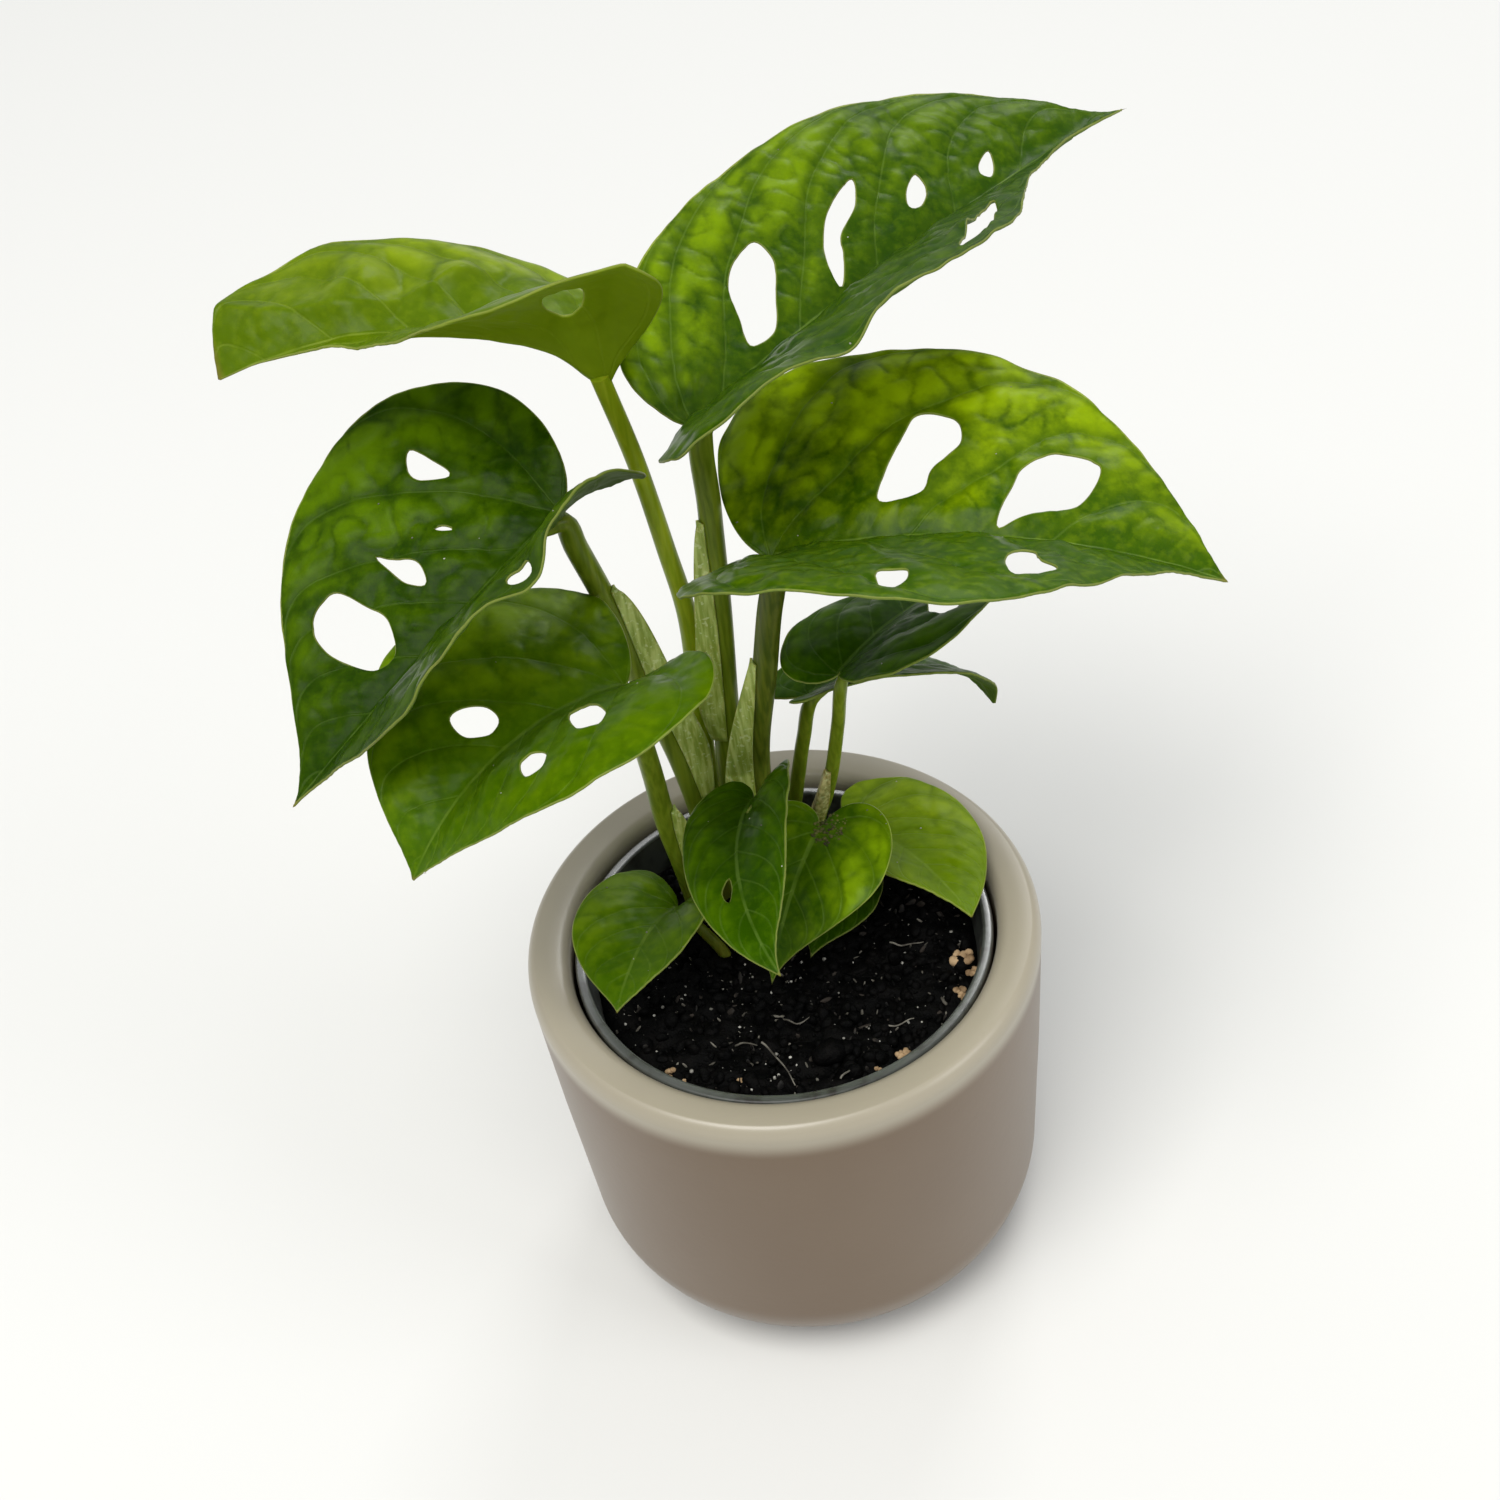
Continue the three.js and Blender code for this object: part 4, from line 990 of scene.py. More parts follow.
def flat_points(leaf, loops):
    """All the flat points of a leaf's mesh: its edges, rings beside them, midrib lines and a grid."""
    edge_points = np.vstack(loops)
    rings = []
    for loop in loops:
        ahead = np.roll(loop, -1, axis=0) - np.roll(loop, 1, axis=0)
        normal = np.stack([-ahead[:, 1], ahead[:, 0]], axis=1)
        normal /= np.maximum(np.linalg.norm(normal, axis=1, keepdims=True), 1e-9)
        for reach in RIM_RINGS:
            for side in (1, -1):
                ring = loop + side * reach * normal
                rings.append(ring[distance_to(ring, loops) > 0.85 * reach])
    lines = [row_of(0.3, leaf.length, RIB_GAP, t) for t in RIB_ROWS]
    low, high = edge_points.min(axis=0), edge_points.max(axis=0)
    rows = np.arange(low[1], high[1], ROW_GAP)
    grid = np.vstack([row_of(low[0] + (k % 2) * GRID / 2, high[0], GRID, row) for k, row in enumerate(rows)])
    grid = grid[(np.abs(grid[:, 1]) > RIB_CLEAR) | (grid[:, 0] < 0)]
    filling = np.vstack([*lines, grid])
    filling = filling[distance_to(filling, loops) > RIM_RINGS[-1] + 0.22]
    candidates = np.vstack([*rings, filling])
    kept = inside(candidates, loops[0])
    for hole in loops[1:]:
        kept &= ~inside(candidates, hole)
    return np.vstack([edge_points, candidates[kept]])


def triangles_of(points, loops):
    """Triangles over the flat points, leaving out the holes and what lies outside the margin."""
    edges, start = [], 0
    for loop in loops:
        edges += [(start + i, start + (i + 1) % len(loop)) for i in range(len(loop))]
        start += len(loop)
    flat = [Vector(point) for point in points.tolist()]
    made = delaunay_2d_cdt(flat, edges, [], 1, 1e-7)
    corners = np.array([list(face) for face in made[2]])
    flat = np.array([tuple(point) for point in made[0]])
    middles = flat[corners].mean(axis=1)
    kept = inside(middles, loops[0])
    for hole in loops[1:]:
        kept &= ~inside(middles, hole)
    return flat, corners[kept]


def normals_of(points, corners):
    """The direction each point of a surface faces in."""
    sides = points[corners]
    faces = np.cross(sides[:, 1] - sides[:, 0], sides[:, 2] - sides[:, 0])
    total = np.zeros_like(points)
    for k in range(3):
        np.add.at(total, corners[:, k], faces)
    return total / np.maximum(np.linalg.norm(total, axis=1, keepdims=True), 1e-12)


def leaf_mesh(leaf, seed, finish):
    """The fine two-sided mesh of one leaf, with the numbers its material reads."""
    loops = loops_of(leaf)
    flat, corners = triangles_of(flat_points(leaf, loops), loops)
    frames = frames_of(leaf)
    s, t = flat.T
    edge = distance_to(flat, loops)
    flat_edge = distance_to(flat, loops[:1])
    middle = on_leaf(leaf, frames, s, t)
    normal = normals_of(middle, corners)
    middle = middle + normal * relief(leaf, s, t, flat_edge, seed)[:, None]
    normal = normals_of(middle, corners)
    rounding = 1 - np.clip(edge / RIM_ROUND, 0, 1)
    half = HALF_THICKNESS * np.sqrt(np.maximum(1 - rounding**2, 0))
    rib = 1 - 0.6 * np.clip(s / leaf.length, 0, 1)
    ridge = 0.75 * min(1.0, leaf.length / 50) * rib * np.exp(-((t / (0.9 * rib)) ** 2)) * (s > -0.5)
    upper = middle + normal * half[:, None]
    lower = middle - normal * (half + ridge * np.clip(edge / 1.5, 0, 1))[:, None]
    count = len(flat)
    under = np.arange(count) + count
    on_edge = edge < 1e-4
    under[on_edge] = np.arange(count)[on_edge]
    faces = np.vstack([corners, under[corners[:, ::-1]]])
    points = np.vstack([upper, lower])
    used = np.unique(faces)
    renumber = np.zeros(len(points), int)
    renumber[used] = np.arange(len(used))
    # The patches number carries painted shade where a leaf's two halves are given different brightness.
    near_side = 0.5 + 0.5 * np.tanh((t - crease_line(leaf, s)) / 1.5)
    numbers = {
        "vein": vein_number(leaf, s, t), "spacing": vein_spacing(leaf, s, t),
        "across": t, "edge": edge, "share": np.clip(s / leaf.length, 0, 1),
        "outward": outward_share(leaf, s, t), "cushion": cushioning(s, t, seed),
        "patches": leaf.patches[1] + (leaf.patches[0] - leaf.patches[1]) * near_side,
        "hole": distance_to(flat, loops[1:]) if len(loops) > 1 else np.full(len(s), 30.0),
    }
    numbers = {key: np.tile(values, 2)[used] for key, values in numbers.items()}
    numbers["under"] = np.repeat([0.0, 1.0], count)[used]
    return mesh_from(leaf.name, points[used], renumber[faces].tolist(), finish, numbers)


# %% [markdown]
# ## The leaf's finish
#
# A swiss cheese vine's leaf is painted darker in its vein grooves, along its midrib and in its furrows as
# painted shade, and brighter on the cushions between the veins as painted light. Each leaf has its own age:
# new ones are pale and even, old ones deep and blotched. One group of nodes reads the numbers on the mesh
# and works out colour, gloss and fine relief for all of them, and each age only changes the colours that go
# in.
# Painted pictures could show more, but they would fit one leaf only.

# %% Leaf finish
def vein_marks(tree):
    """How dark the leaf is painted: painted shade in the vein grooves and along the midrib, darker round the
    holes, and where the fine vein and rib lines are.
    """
    shifted = calc(tree, "ADD", value_of(tree, "vein"), 0.5)
    wrapped = calc(tree, "SUBTRACT", calc(tree, "FRACT", shifted), 0.5)
    from_vein = product(tree, calc(tree, "ABSOLUTE", wrapped), value_of(tree, "spacing"))
    from_rib = calc(tree, "ABSOLUTE", value_of(tree, "across"))
    line = step(tree, from_vein, 0.05, 0.24, 1, 0)
    rib_width = calc(tree, "MULTIPLY_ADD", value_of(tree, "share"), -0.35, 0.5)
    rib = step(tree, calc(tree, "SUBTRACT", from_rib, rib_width), -0.12, 0.12, 1, 0)
    # Painted shade: darker along the vein grooves and along the midrib, where the creases lie.
    painted_groove_shade = step(tree, from_vein, 0.15, 1.9, 1, 0)
    painted_rib_shade = step(tree, from_rib, 0.4, 7, 1, 0)
    hole_shade = step(tree, value_of(tree, "hole"), 0.3, 3.2, 1, 0)
    dark = calc(tree, "MAXIMUM", product(tree, painted_groove_shade, 0.75), painted_rib_shade)
    return calc(tree, "MAXIMUM", dark, product(tree, hole_shade, 0.8)), line, rib


def bright_share(tree, place, dark, clouds, patches):
    """How bright the leaf is: in clouds and towards the margin, with painted light on the cushion tops, and
    less where the vein marks paint it darker.
    """
    cells = add(tree, "ShaderNodeTexVoronoi", {"Vector": place, "Scale": 1 / (4.2 * MM), "Smoothness": 0.6},
                feature="SMOOTH_F1").outputs["Distance"]
    blotch = step(tree, cells, 0.2, 0.8, 1, 0)
    outer = step(tree, value_of(tree, "outward"), 0.2, 0.9)
    share = calc(tree, "ADD", product(tree, blotch, 0.16), product(tree, clouds, 1.3))
    share = calc(tree, "MULTIPLY_ADD", outer, 0.3, calc(tree, "SUBTRACT", share, 0.66))
    # Painted light: brighter on the tops of the cushions.
    share = calc(tree, "MULTIPLY_ADD", value_of(tree, "cushion"), 0.14, share)
    share = product(tree, share, calc(tree, "MULTIPLY_ADD", dark, -0.75, 1.0))
    towards_tip = step(tree, value_of(tree, "share"), 0.25, 0.9, 1.0, 0.4)
    # Through the per-half patches number, one half of some leaves gets painted shade.
    amount = product(tree, patches, value_of(tree, "patches"), towards_tip)
    return product(tree, step(tree, share, -0.1, 0.75), amount)


def make_leaf_markings():
    """A group that works out a leaf's colour, gloss and fine relief from the numbers on its mesh."""
    tree, given, out = group(
        "leaf_markings",
        [("Deep", COLOUR, rgb(42, 82, 14)), ("Bright", COLOUR, rgb(120, 156, 20)),
         ("Rib", COLOUR, rgb(150, 176, 90)), ("Under", COLOUR, rgb(92, 114, 50)), ("Patches", FLOAT, 0.6)],
        [("Color", COLOUR), ("Roughness", FLOAT), ("Height", FLOAT)],
    )
    deep, bright, rib_colour = (given.outputs[key] for key in ("Deep", "Bright", "Rib"))
    place = add(tree, "ShaderNodeTexCoord").outputs["Object"]
    dark, line, rib = vein_marks(tree)
    clouds = noise(tree, place, 7, detail=6, roughness=0.62)
    colour = tint(tree, bright_share(tree, place, dark, clouds, given.outputs["Patches"]), deep, bright)
    # Painted shade: darker green in the furrows between the cushions.
    painted_furrow_shade = step(tree, value_of(tree, "cushion"), 0, 0.9, 1, 0)
    painted_furrow_shade = product(tree, painted_furrow_shade, step(tree, clouds, 0.35, 0.6, 0.36, 0.05))
    colour = tint(tree, painted_furrow_shade, colour, tint(tree, 0.45, deep, rgb(12, 34, 0)))
    mottle = noise(tree, place, 1.4, detail=4)
    colour = tint(tree, product(tree, step(tree, mottle, 0.42, 0.7), 0.14), colour, bright)
    fade = step(tree, noise(tree, place, 6), 0.35, 0.6, 0.25, 1)
    colour = tint(tree, product(tree, line, fade, 0.18), colour, rib_colour)
    colour = tint(tree, product(tree, rib, fade, 0.4), colour, rib_colour)
    margin = step(tree, value_of(tree, "edge"), 0.08, 0.2, 1, 0)
    colour = tint(tree, product(tree, margin, 0.45), colour, rgb(150, 152, 84))
    withered = step(tree, value_of(tree, "share"), 0.97, 1.0)
    colour = tint(tree, product(tree, withered, 0.6), colour, rgb(122, 100, 50))
    below = tint(tree, 0.55, colour, given.outputs["Under"])
    colour = tint(tree, value_of(tree, "under"), colour, below)
    tree.links.new(colour, out.inputs["Color"])
    gloss = calc(tree, "MULTIPLY_ADD", value_of(tree, "under"), 0.25, 0.26)
    tree.links.new(calc(tree, "MULTIPLY_ADD", mottle, 0.14, gloss), out.inputs["Roughness"])
    fine_cells = add(tree, "ShaderNodeTexVoronoi", {"Vector": place, "Scale": 1 / (1.6 * MM)},
                     feature="SMOOTH_F1").outputs["Distance"]
    height = calc(tree, "MULTIPLY_ADD", line, -0.4, calc(tree, "MULTIPLY", fine_cells, -0.4))
    height = calc(tree, "MULTIPLY_ADD", mottle, 0.3, height)
    tree.links.new(height, out.inputs["Height"])
    return tree


leaf_markings = make_leaf_markings()


def make_leaf_finish(name, deep, bright, rib, under=rgb(88, 110, 40), shine=0.07):
    """A glossy living leaf, slightly translucent, marked by the shared group."""
    finish, tree, surface = material(
        name, Specular_IOR_Level=shine, Subsurface_Weight=0.15, Subsurface_Scale=1.0 * MM,
    )
    surface.inputs["Subsurface Radius"].default_value = (0.9, 1.3, 0.3)
    inputs = {"Deep": deep, "Bright": bright, "Rib": rib, "Under": under, "Patches": 0.95}
    marks = tree.nodes.new("ShaderNodeGroup")
    marks.node_tree = leaf_markings
    for key, value in inputs.items():
        marks.inputs[key].default_value = value
    tree.links.new(marks.outputs["Color"], surface.inputs["Base Color"])
    tree.links.new(marks.outputs["Roughness"], surface.inputs["Roughness"])
    relief_inputs = {"Height": marks.outputs["Height"], "Strength": 0.5, "Distance": 0.25 * MM}
    bump = add(tree, "ShaderNodeBump", relief_inputs)
    tree.links.new(bump.outputs[0], surface.inputs["Normal"])
    return finish


leaf_finishes = {
    "crown": make_leaf_finish("leaf_crown", rgb(34, 64, 0), rgb(112, 140, 0), rgb(112, 138, 60)),
    "mature": make_leaf_finish("leaf_mature", rgb(45, 77, 0), rgb(146, 172, 4), rgb(118, 144, 62)),
    "young": make_leaf_finish(
        "leaf_young", rgb(76, 100, 0), rgb(130, 150, 16), rgb(136, 154, 60), under=rgb(126, 148, 10),
    ),
    "dark": make_leaf_finish("leaf_dark", rgb(30, 56, 0), rgb(86, 116, 0), rgb(96, 122, 52), shine=0.04),
    "leafy": make_leaf_finish("leaf_leafy", rgb(60, 92, 0), rgb(122, 150, 6), rgb(112, 138, 50)),
    "small": make_leaf_finish("leaf_small", rgb(40, 72, 0), rgb(100, 136, 4), rgb(108, 136, 58), shine=0.03),
    "heart": make_leaf_finish("leaf_heart", rgb(46, 80, 0), rgb(128, 160, 8), rgb(120, 148, 60)),
    "fresh": make_leaf_finish("leaf_fresh", rgb(92, 120, 2), rgb(138, 162, 18), rgb(126, 150, 60)),
}

for seed, leaf in enumerate(leaves, start=1):
    mesh = leaf_mesh(leaf, seed, leaf_finishes[leaf.tone])
    piece_from(f"leaf_{leaf.name}", mesh, "leaf", f"blade_{leaf.name}")

# %% [markdown]
# ## Stalks
#
# Each stalk is a path with a radius at every point. Curve to Mesh carries a ring along the path, so one
# tree makes all twelve. The path goes on under the blade and thins out there, where the midrib is, so
# stalk and blade read as one grown piece. Where the blade is drawn down like a funnel, the stalk keeps its
# thickness and ends inside the funnel.

# %% A tree that makes tubes
def make_tube_tree():
    """A tree that turns the base mesh's edges into a tube, as thick as the radius stored on them."""
    inputs = [("Sides", "NodeSocketInt", 20), ("Finish", "NodeSocketMaterial", None)]
    tree, source, out = geometry_tree("tube", inputs)
    path = add(tree, "GeometryNodeMeshToCurve", {"Mesh": source.outputs["Geometry"]}).outputs[0]
    ring_inputs = {"Resolution": source.outputs["Sides"], "Radius": 1.0}
    ring = add(tree, "GeometryNodeCurvePrimitiveCircle", ring_inputs).outputs[0]
    radius = add(tree, "GeometryNodeInputNamedAttribute", {"Name": "radius"}, data_type="FLOAT").outputs[0]
    swept_inputs = {"Curve": path, "Profile Curve": ring, "Scale": radius, "Fill Caps": True}
    swept = add(tree, "GeometryNodeCurveToMesh", swept_inputs).outputs[0]
    close_tree(tree, out, swept, source.outputs["Finish"])
    return tree


tube_tree = make_tube_tree()


def tube(paths, finish, sides=20):
    """A mesh of tubes from paths in millimetres, each with a radius for every point."""
    points = np.vstack([path for path, _ in paths])
    radii = np.concatenate([radius for _, radius in paths])
    edges, start = [], 0
    for path, _ in paths:
        edges += [(start + i, start + i + 1) for i in range(len(path) - 1)]
        start += len(path)
    base = bpy.data.meshes.new("paths")
    base.from_pydata((points * MM).tolist(), edges, [])
    radius = base.attributes.new("radius", "FLOAT", "POINT")
    radius.data.foreach_set("value", (radii * MM).astype(np.float32))
    return grow(tube_tree, base, Sides=sides, Finish=finish)


print("tube tree:", len(tube_tree.nodes), "nodes")

# %% Stalks
STEM_DEPTH = 5.7


def stalk_path(leaf):
    """The middle line of a stalk and its radius, from in the soil to under the midrib."""
    frames = frames_of(leaf)
    rising = frames[0, 9:12]
    radius = leaf.top_radius
    foot = leaf.route[0]
    keel = on_leaf(leaf, frames, np.array([0.3, 3.5]), np.array([0.0, 0.0]))
    joint = list(keel - rising * radius * np.array([[0.95], [0.45]]))
    if leaf.sink > 1:
        joint = [np.array(leaf.junction) - 0.6 * leaf.sink * stalk_direction(leaf)]
    points = [(foot[0], foot[1], foot[2] - STEM_DEPTH), *leaf.route, *joint]
    path = evenly(smooth_path(points), 1.2)
    share = np.linspace(0, 1, len(path))
    radii = leaf.foot_radius + (radius - leaf.foot_radius) * np.minimum(1, 1.25 * share) ** 0.8
    ahead = np.minimum(1, np.linalg.norm(path - path[-1], axis=1) / 5)
    thinned = 1.0 if leaf.sink > 1 else 0.35 + 0.65 * ahead ** 0.7
    return path, radii * thinned


def stretched_along_z(tree, place, share):
    """Places squeezed in height, which draws a texture out into upright streaks."""
    return add(tree, "ShaderNodeVectorMath", {0: place, 1: (1, 1, share)}, operation="MULTIPLY").outputs[0]


def make_stalk_finish(name, low, high):
    """A smooth stalk with faint streaks along it and a browner foot."""
    finish, tree, surface = material(
        name, Roughness=0.34, Specular_IOR_Level=0.16, Subsurface_Weight=0.15, Subsurface_Scale=1.0 * MM,
    )
    place = add(tree, "ShaderNodeTexCoord").outputs["Object"]
    streaks = noise(tree, stretched_along_z(tree, place, 0.05), 0.7, detail=3)
    colour = tint(tree, step(tree, streaks, 0.3, 0.7), low, high)
    height = add(tree, "ShaderNodeSeparateXYZ", {"Vector": place}).outputs["Z"]
    colour = tint(tree, step(tree, height, 58 * MM, 70 * MM, 0.5, 0), colour, rgb(84, 74, 30))
    tree.links.new(colour, surface.inputs["Base Color"])
    bump = add(tree, "ShaderNodeBump", {"Height": streaks, "Strength": 0.15, "Distance": 0.2 * MM})
    tree.links.new(bump.outputs[0], surface.inputs["Normal"])
    return finish


stalk_finishes = {
    "bright": make_stalk_finish("stalk_bright", rgb(122, 142, 14), rgb(142, 158, 30)),
    "olive": make_stalk_finish("stalk_olive", rgb(84, 102, 12), rgb(110, 126, 30)),
    "dim": make_stalk_finish("stalk_dim", rgb(62, 76, 12), rgb(92, 102, 28)),
}
stalk_tones = {"top_left": "bright", "right": "dim"}
for leaf in leaves:
    path, radii = stalk_path(leaf)
    finish = stalk_finishes[stalk_tones.get(leaf.name, "olive")]
    piece_from(f"stem_{leaf.name}", tube([(path, radii)], finish), "stalk", f"stalk_{leaf.name}")

# %% [markdown]
# ## Sheaths
#
# The pale papery wings on four of the stalks once wrapped a younger leaf, and a fifth, at the foot of a
# small stalk, has dried up. Each is a strip that hugs its stalk along one side and stands out from it in
# the middle. Rows of points round the stalk make it, because it has to follow the stalk's bends.

# %% Sheaths
@dataclass
class Sheath:
    """A wing on one side of a stalk: where it points, its lowest and highest heights and its sizes."""
    name: str
    facing: float
    low: float
    high: float
    reach: float
    breadth: tuple


sheaths = [
    Sheath("top_right", 212, 90, 132, 52, (3.2, 1.5)),
    Sheath("right", 194, 78, 111, 58, (3.6, 0.8)),
    Sheath("left", -14, 82, 123, 52, (3.0, 2.6)),
    Sheath("lower_left", -20, 66, 89, 55, (2.8, 1.6)),
]


def sheath_mesh(sheath, finish):
    """The fine mesh of one sheath: an outer face that stands out and an inner face near the stalk."""
    leaf = next(leaf for leaf in leaves if leaf.name == sheath.name)
    path, radii = stalk_path(leaf)
    rows, columns = 40, 24
    heights = np.linspace(sheath.low, sheath.high, rows + 1)
    middle = np.stack([np.interp(heights, path[:, 2], path[:, k]) for k in range(3)], axis=1)
    radius = np.interp(heights, path[:, 2], radii)
    tangent = np.gradient(middle, axis=0)
    tangent /= np.linalg.norm(tangent, axis=1, keepdims=True)
    facing = math.radians(sheath.facing)
    out = np.array([math.cos(facing), math.sin(facing), 0.0])
    outward = out - tangent * (tangent @ out)[:, None]
    outward /= np.linalg.norm(outward, axis=1, keepdims=True)
    sideways = np.cross(tangent, outward)
    u = np.linspace(0, 1, rows + 1)
    rising = np.clip((u + 0.12) / 0.4, 0, 1)
    rounding = np.sqrt(np.maximum(1 - u**6, 0)) * rising**2 * (3 - 2 * rising)
    wing = (sheath.breadth[0] + (sheath.breadth[1] - sheath.breadth[0]) * u) * rounding
    reach = math.radians(sheath.reach) * (1 - 0.6 * u**2)
    k = np.linspace(-1, 1, columns + 1)

    def ring(i, base, stand):
        radial = base + stand * wing[i] * (1 - np.abs(k)) ** 1.6
        angle = k * reach[i]
        return (middle[i] + outward[i] * (radial * np.cos(angle))[:, None]
                + sideways[i] * (radial * np.sin(angle))[:, None])

    outer = [ring(i, radius[i] + 0.45, 1) for i in range(rows + 1)]
    inner = [ring(i, radius[i] + 0.05, 1)[::-1] for i in range(rows + 1)]
    around = 2 * (columns + 1)
    points = np.vstack([np.vstack([a, b]) for a, b in zip(outer, inner)])
    faces = []
    for i in range(rows):
        for j in range(around):
            a, b = i * around + j, i * around + (j + 1) % around
            faces.append((a, b, b + around, a + around))
    faces.append(tuple(range(around))[::-1])
    faces.append(tuple(range(rows * around, (rows + 1) * around)))
    return mesh_from(sheath.name, points, faces, finish)


def make_sheath_finish(name, low, high):
    """Papery and pale, with streaks and speckles that run up it."""
    finish, tree, surface = material(name, Roughness=0.55, Subsurface_Weight=0.2, Subsurface_Scale=1.0 * MM)
    place = add(tree, "ShaderNodeTexCoord").outputs["Object"]
    streaks = noise(tree, stretched_along_z(tree, place, 0.1), 0.6, detail=4)
    colour = tint(tree, step(tree, streaks, 0.36, 0.66), low, high)
    specks = step(tree, noise(tree, place, 0.7, detail=3), 0.58, 0.66)
    colour = tint(tree, calc(tree, "MULTIPLY", specks, 0.45), colour, rgb(208, 216, 162))
    tree.links.new(colour, surface.inputs["Base Color"])
    return finish


sheath_finish = make_sheath_finish("sheath", rgb(128, 146, 48), rgb(174, 187, 102))
dry_finish = make_sheath_finish("dry_sheath", rgb(132, 126, 66), rgb(196, 186, 128))
dry_sheath = Sheath("small_right", 225, 70, 87, 62, (1.5, 1.0))
piece_from("wing_small_right", sheath_mesh(dry_sheath, dry_finish), "sheath")
for sheath in sheaths:
    piece_from(f"wing_{sheath.name}", sheath_mesh(sheath, sheath_finish), "sheath", f"sheath_{sheath.name}")

# %% [markdown]
# ## Soil
#
# The soil is a plug with a crumbly top. Most of what the eye reads as soil is loose crumbs, so a tree
# scatters a few crumb shapes over the top at random sizes and turns.

# %% Soil plug and crumbs
SOIL_TOP = 58.0
CRUMB = 0.55
SLACK = 0.3


def crumb_height(x, y):
    """The height of the soil's top."""
    coarse = np.sin(0.61 * x + 1.3) * np.sin(0.53 * y + 0.4)
    fine = np.sin(1.27 * x + 0.8 * y) * np.cos(1.13 * y - 0.7 * x)
    return SOIL_TOP + CRUMB * (coarse + 0.6 * fine)


SOIL_RADIUS = pot_wall_at(SOIL_TOP) - POT_WALL - SLACK
SOIL_SIDES = 120


def soil_top(gap):
    """Points and triangles of the crumbly top, with the points of its rim first."""
    angle = np.linspace(0, 2 * np.pi, SOIL_SIDES, endpoint=False)
    loop = SOIL_RADIUS * np.stack([np.cos(angle), np.sin(angle)], axis=1)
    axis = np.arange(-SOIL_RADIUS, SOIL_RADIUS, gap)
    grid = np.stack(np.meshgrid(axis, axis), axis=-1).reshape(-1, 2)
    grid = grid[np.hypot(grid[:, 0], grid[:, 1]) < SOIL_RADIUS - 0.8 * gap]
    flat, corners = triangles_of(np.vstack([loop, grid]), [loop])
    from_edge = np.clip((SOIL_RADIUS - np.hypot(flat[:, 0], flat[:, 1])) / 3, 0, 1)
    height = crumb_height(flat[:, 0], flat[:, 1]) + 0.35 * waves(flat[:, 0] / 1.1, flat[:, 1] / 1.1, 5)
    return np.column_stack([flat, height - 1.5 * (1 - from_edge) ** 2]), corners


def soil_mesh(finish):
    """The plug: a fine crumbly disc on top, plain sides and a plain bottom."""
    top, corners = soil_top(0.8)
    bottom = POT_FLOOR + POT_WALL + SLACK
    narrowing = (pot_wall_at(bottom) - POT_WALL - SLACK) / SOIL_RADIUS
    ring = np.column_stack([top[:SOIL_SIDES, :2] * narrowing, np.full(SOIL_SIDES, bottom)])
    start = len(top)
    faces = corners.tolist()
    for i in range(SOIL_SIDES):
        j = (i + 1) % SOIL_SIDES
        faces.append((j, i, start + i, start + j))
    faces.append(tuple(range(start, start + SOIL_SIDES))[::-1])
    return mesh_from("soil", np.vstack([top, ring]), faces, finish)


piece_from("soil_plug", soil_mesh(peat), "peat", "soil")

# %% A tree that scatters crumbs
def make_scatter_tree():
    """A tree that stands shapes of random size on a surface, most of them small."""
    inputs = [
        ("Density", FLOAT, 0.3), ("Least", FLOAT, 0.3), ("Most", FLOAT, 1.0),
        ("Seed", "NodeSocketInt", 1), ("Shapes", "NodeSocketCollection", None),
        ("Finish", "NodeSocketMaterial", None),
    ]
    tree, source, out = geometry_tree("scatter", inputs)
    given = source.outputs
    spots = add(tree, "GeometryNodeDistributePointsOnFaces",
                {"Mesh": given["Geometry"], "Density": given["Density"], "Seed": given["Seed"]}).outputs[0]
    shape_inputs = {"Collection": given["Shapes"], "Separate Children": True, "Reset Children": True}
    shapes = add(tree, "GeometryNodeCollectionInfo", shape_inputs).outputs[0]
    turn = add(tree, "FunctionNodeRandomValue", {1: (6.3, 6.3, 6.3), "Seed": given["Seed"]},
               data_type="FLOAT_VECTOR").outputs[0]
    chance = add(tree, "FunctionNodeRandomValue", {"Seed": given["Seed"]}, data_type="FLOAT").outputs[1]
    spread = calc(tree, "SUBTRACT", given["Most"], given["Least"])
    size = calc(tree, "MULTIPLY_ADD", calc(tree, "POWER", chance, 3.0), spread, given["Least"])
    placed = add(tree, "GeometryNodeInstanceOnPoints",
                 {"Points": spots, "Instance": shapes, "Pick Instance": True, "Rotation": turn,
                  "Scale": size}).outputs[0]
    close_tree(tree, out, placed, given["Finish"])
    return tree


scatter_tree = make_scatter_tree()


def lump(seed, stretch=(1.0, 1.0, 1.0)):
    """Points and triangles of a rough little lump about 1 mm in radius."""
    ball = bmesh.new()
    bmesh.ops.create_icosphere(ball, subdivisions=2, radius=1.0)
    points = np.array([vertex.co for vertex in ball.verts])
    faces = np.array([[vertex.index for vertex in face.verts] for face in ball.faces])
    ball.free()
    rough = 1 + 0.28 * waves(2.2 * points[:, 0] + points[:, 2], 2.2 * points[:, 1] - points[:, 2], seed)
    return points * rough[:, None] * np.array(stretch), faces


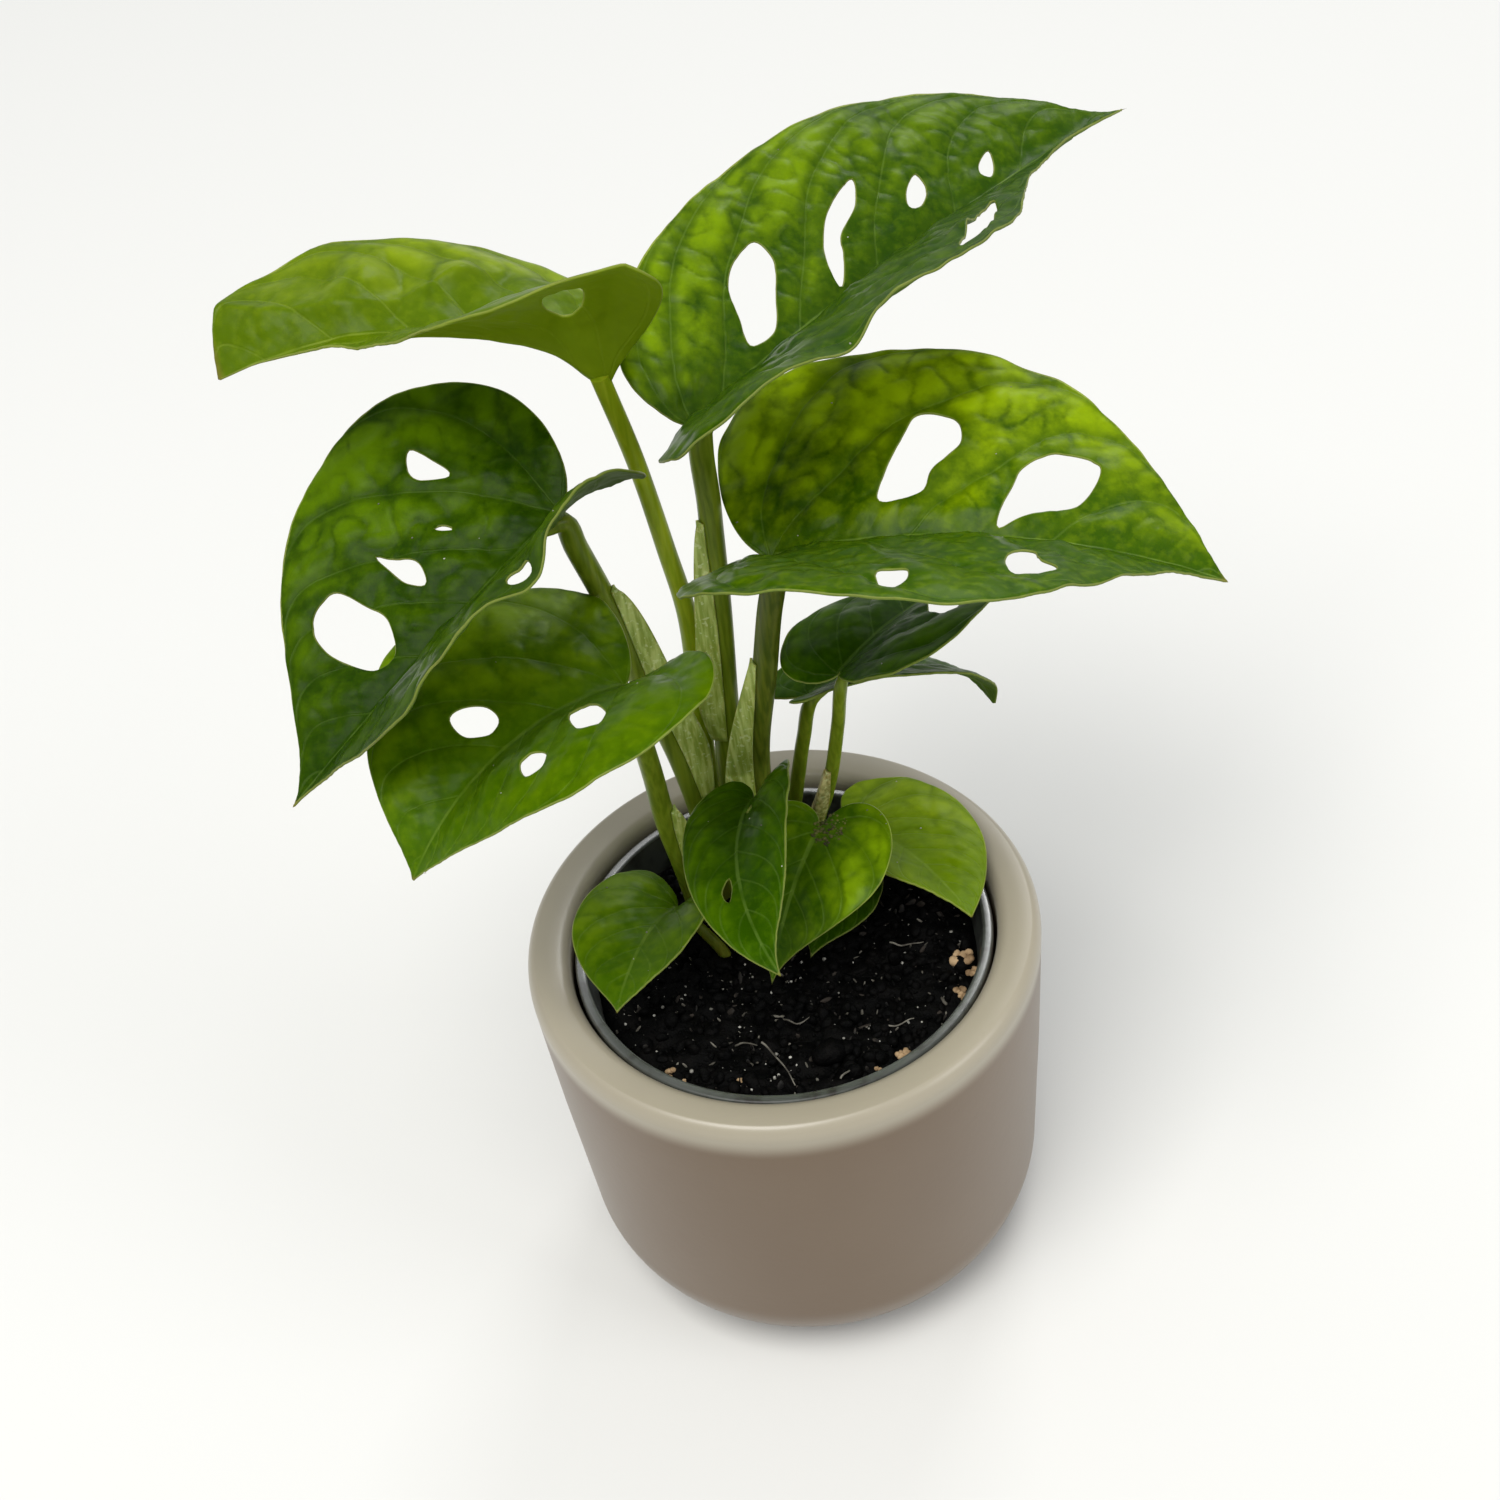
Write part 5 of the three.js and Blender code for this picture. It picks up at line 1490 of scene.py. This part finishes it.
def scatter(name, shapes, finish, density, least, most, seed):
    """A piece of soil litter: shapes strewn over the soil's top, with that many on a square millimetre."""
    kinds = bpy.data.collections.new(name)
    for points, faces in shapes:
        kinds.objects.link(bpy.data.objects.new(name, mesh_from(name, points, faces.tolist(), finish)))
    top, corners = soil_top(2.0)
    inner = np.hypot(*top[corners].mean(axis=1)[:, :2].T) < SOIL_RADIUS - 1.2
    base = mesh_from("litter_ground", top, corners[inner].tolist(), finish)
    settings = {"Density": density / MM**2, "Least": least, "Most": most, "Seed": seed, "Shapes": kinds}
    mesh = grow(scatter_tree, base, Finish=finish, **settings)
    for shape in list(kinds.objects):
        bpy.data.objects.remove(shape)
    bpy.data.collections.remove(kinds)
    return piece_from(name, mesh, "peat")


# %% [markdown]
# ## Litter
#
# Potting mix holds bark, pale grit and thin dead roots, and a few brown granules lie near the rim. Some
# crumbs have also landed on the leaves, most of them where a stalk meets its blade. Strewn bits come from
# the scatter tree, and the few that the eye picks out are placed one by one.

# %% Litter on the soil
def make_litter_finish(name, low, high, roughness=0.8):
    """A dull finish for litter that varies from crumb to crumb."""
    finish, tree, surface = material(name, Roughness=roughness)
    place = add(tree, "ShaderNodeTexCoord").outputs["Object"]
    colour = tint(tree, step(tree, noise(tree, place, 2.4, detail=4), 0.35, 0.65), low, high)
    tree.links.new(colour, surface.inputs["Base Color"])
    return finish


bark = make_litter_finish("bark", rgb(10, 8, 6), rgb(44, 36, 28))
chalk = make_litter_finish("chalk", rgb(96, 94, 86), rgb(190, 188, 180))
granule = make_litter_finish("granule", rgb(118, 92, 62), rgb(190, 160, 122))
root = make_litter_finish("root", rgb(62, 58, 50), rgb(122, 118, 108))

scatter("soil_crumbs", [lump(k, (1, 0.8, 0.6)) for k in range(4)], peat, 0.42, 0.35, 1.7, 3)
scatter("soil_bark", [lump(k + 9, (1.6, 0.5, 0.3)) for k in range(3)], bark, 0.07, 0.3, 1.2, 8)
scatter("soil_chalk", [lump(k + 20) for k in range(2)], chalk, 0.13, 0.08, 0.34, 14)
scatter("soil_chips", [lump(k + 30, (1.5, 0.4, 0.25)) for k in range(3)], root, 0.12, 0.14, 0.7, 21)

GRANULE_SPOTS = [
    (27.0, -6.9, 1.6), (27.9, -9.3, 1.0), (25.3, -12.4, 1.1), (25.9, -14.2, 0.9), (15.0, -23.1, 1.0),
    (11.0, -25.3, 0.6), (-19.9, -19.9, 0.8), (-9.7, -23.5, 0.4), (-18.0, -21.6, 0.3),
]
GRAINS = 9


def clustered(spots, seed):
    """Splits each spot into a cluster of small grains within its radius."""
    rng = np.random.default_rng(seed)
    return [
        (x + radius * dx, y + radius * dy, radius * size)
        for x, y, radius in spots
        for dx, dy, size in zip(*rng.uniform(-0.8, 0.8, (2, GRAINS)), rng.uniform(0.25, 0.6, GRAINS))
    ]


def on_soil(spots):
    """Sets spots, each with a radius, on the soil's top."""
    return [(x, y, crumb_height(x, y) + 0.5 * radius, radius) for x, y, radius in spots]


def on_blade(name, centre, spread, count, sizes, seed):
    """Strews spots at random over the part of a leaf's upper face that is near a place."""
    mesh = bpy.data.objects[f"leaf_{name}"].data
    places = np.array([vertex.co for vertex in mesh.vertices]) / MM
    upper = np.array([item.value for item in mesh.attributes["under"].data]) < 0.5
    near = places[upper & (np.linalg.norm(places - np.array(centre), axis=1) < spread)]
    rng = np.random.default_rng(seed)
    chosen = near[rng.choice(len(near), count, replace=False)]
    return [(*place, size) for place, size in zip(chosen, rng.uniform(*sizes, count))]


def lumps(name, spots, finish, slot, seed):
    """A piece made of single lumps at chosen places, each given with its radius."""
    points, faces, start = [], [], 0
    for k, (x, y, z, radius) in enumerate(spots):
        shape, corners = lump(seed + k, (1.0, 0.9, 0.75))
        points.append(shape * radius + np.array([x, y, z]))
        faces.append(corners + start)
        start += len(shape)
    mesh = mesh_from(name, np.vstack(points), np.vstack(faces).tolist(), finish)
    return piece_from(name, mesh, slot)


lumps("soil_granules", on_soil(clustered(GRANULE_SPOTS, 4)), granule, "peat", 40)
lumps("soil_clod", on_soil([(3.8, -21.6, 2.6), (6.4, -20.8, 1.6)]), peat, "peat", 60)

debris = make_litter_finish("debris", rgb(34, 30, 8), rgb(104, 106, 44))
lumps("leaf_debris", on_blade("heart", (9.6, 5.2, 79), 3.0, 60, (0.1, 0.36), 5), debris, "peat", 80)
PLANT_MIDDLE = (0, 0, 110)
PLANT_REACH = 200
SPECKS = {
    "small_right": 6, "round_right": 6, "round_left": 5, "heart": 5, "centre": 4,
    "lower_left": 5, "left": 5, "right": 6, "top_right": 4,
}
specks = []
for seed, (name, count) in enumerate(SPECKS.items()):
    specks += on_blade(name, PLANT_MIDDLE, PLANT_REACH, count, (0.08, 0.17), seed)
lumps("leaf_specks", specks, chalk, "peat", 120)

# %% Thin roots
ROOT_ROUTES = [
    [(15.5, -1.4), (18.4, -2.6), (21.6, -2.0)],
    [(-9.8, -16.4), (-8.1, -17.0), (-6.3, -17.6)],
    [(-5.8, -17.4), (-4.2, -19.2), (-3.3, -21.6), (-1.5, -25.8)],
    [(5.1, -26.6), (6.6, -25.4), (7.6, -24.0)],
    [(-18.9, -10.4), (-18.2, -9.0), (-17.2, -8.2)],
    [(-3.0, -13.0), (0.5, -14.4), (2.0, -13.6)],
    [(12.0, -16.5), (14.0, -18.2), (17.5, -17.4)],
]


def root_path(route, seed):
    """A thin root that lies on the crumbs and lifts off them a little in the middle."""
    path = evenly(smooth_path([(x, y, 0) for x, y in route]), 0.5)
    share = np.linspace(0, 1, len(path))
    path[:, 2] = crumb_height(path[:, 0], path[:, 1]) + 0.55 + 0.5 * np.sin(np.pi * share)
    path[:, 0] += 0.15 * np.sin(9 * share + seed)
    return path, 0.17 * (1 - 0.5 * share)


roots = [root_path(route, seed) for seed, route in enumerate(ROOT_ROUTES)]
piece_from("soil_roots", tube(roots, root, sides=8), "peat")
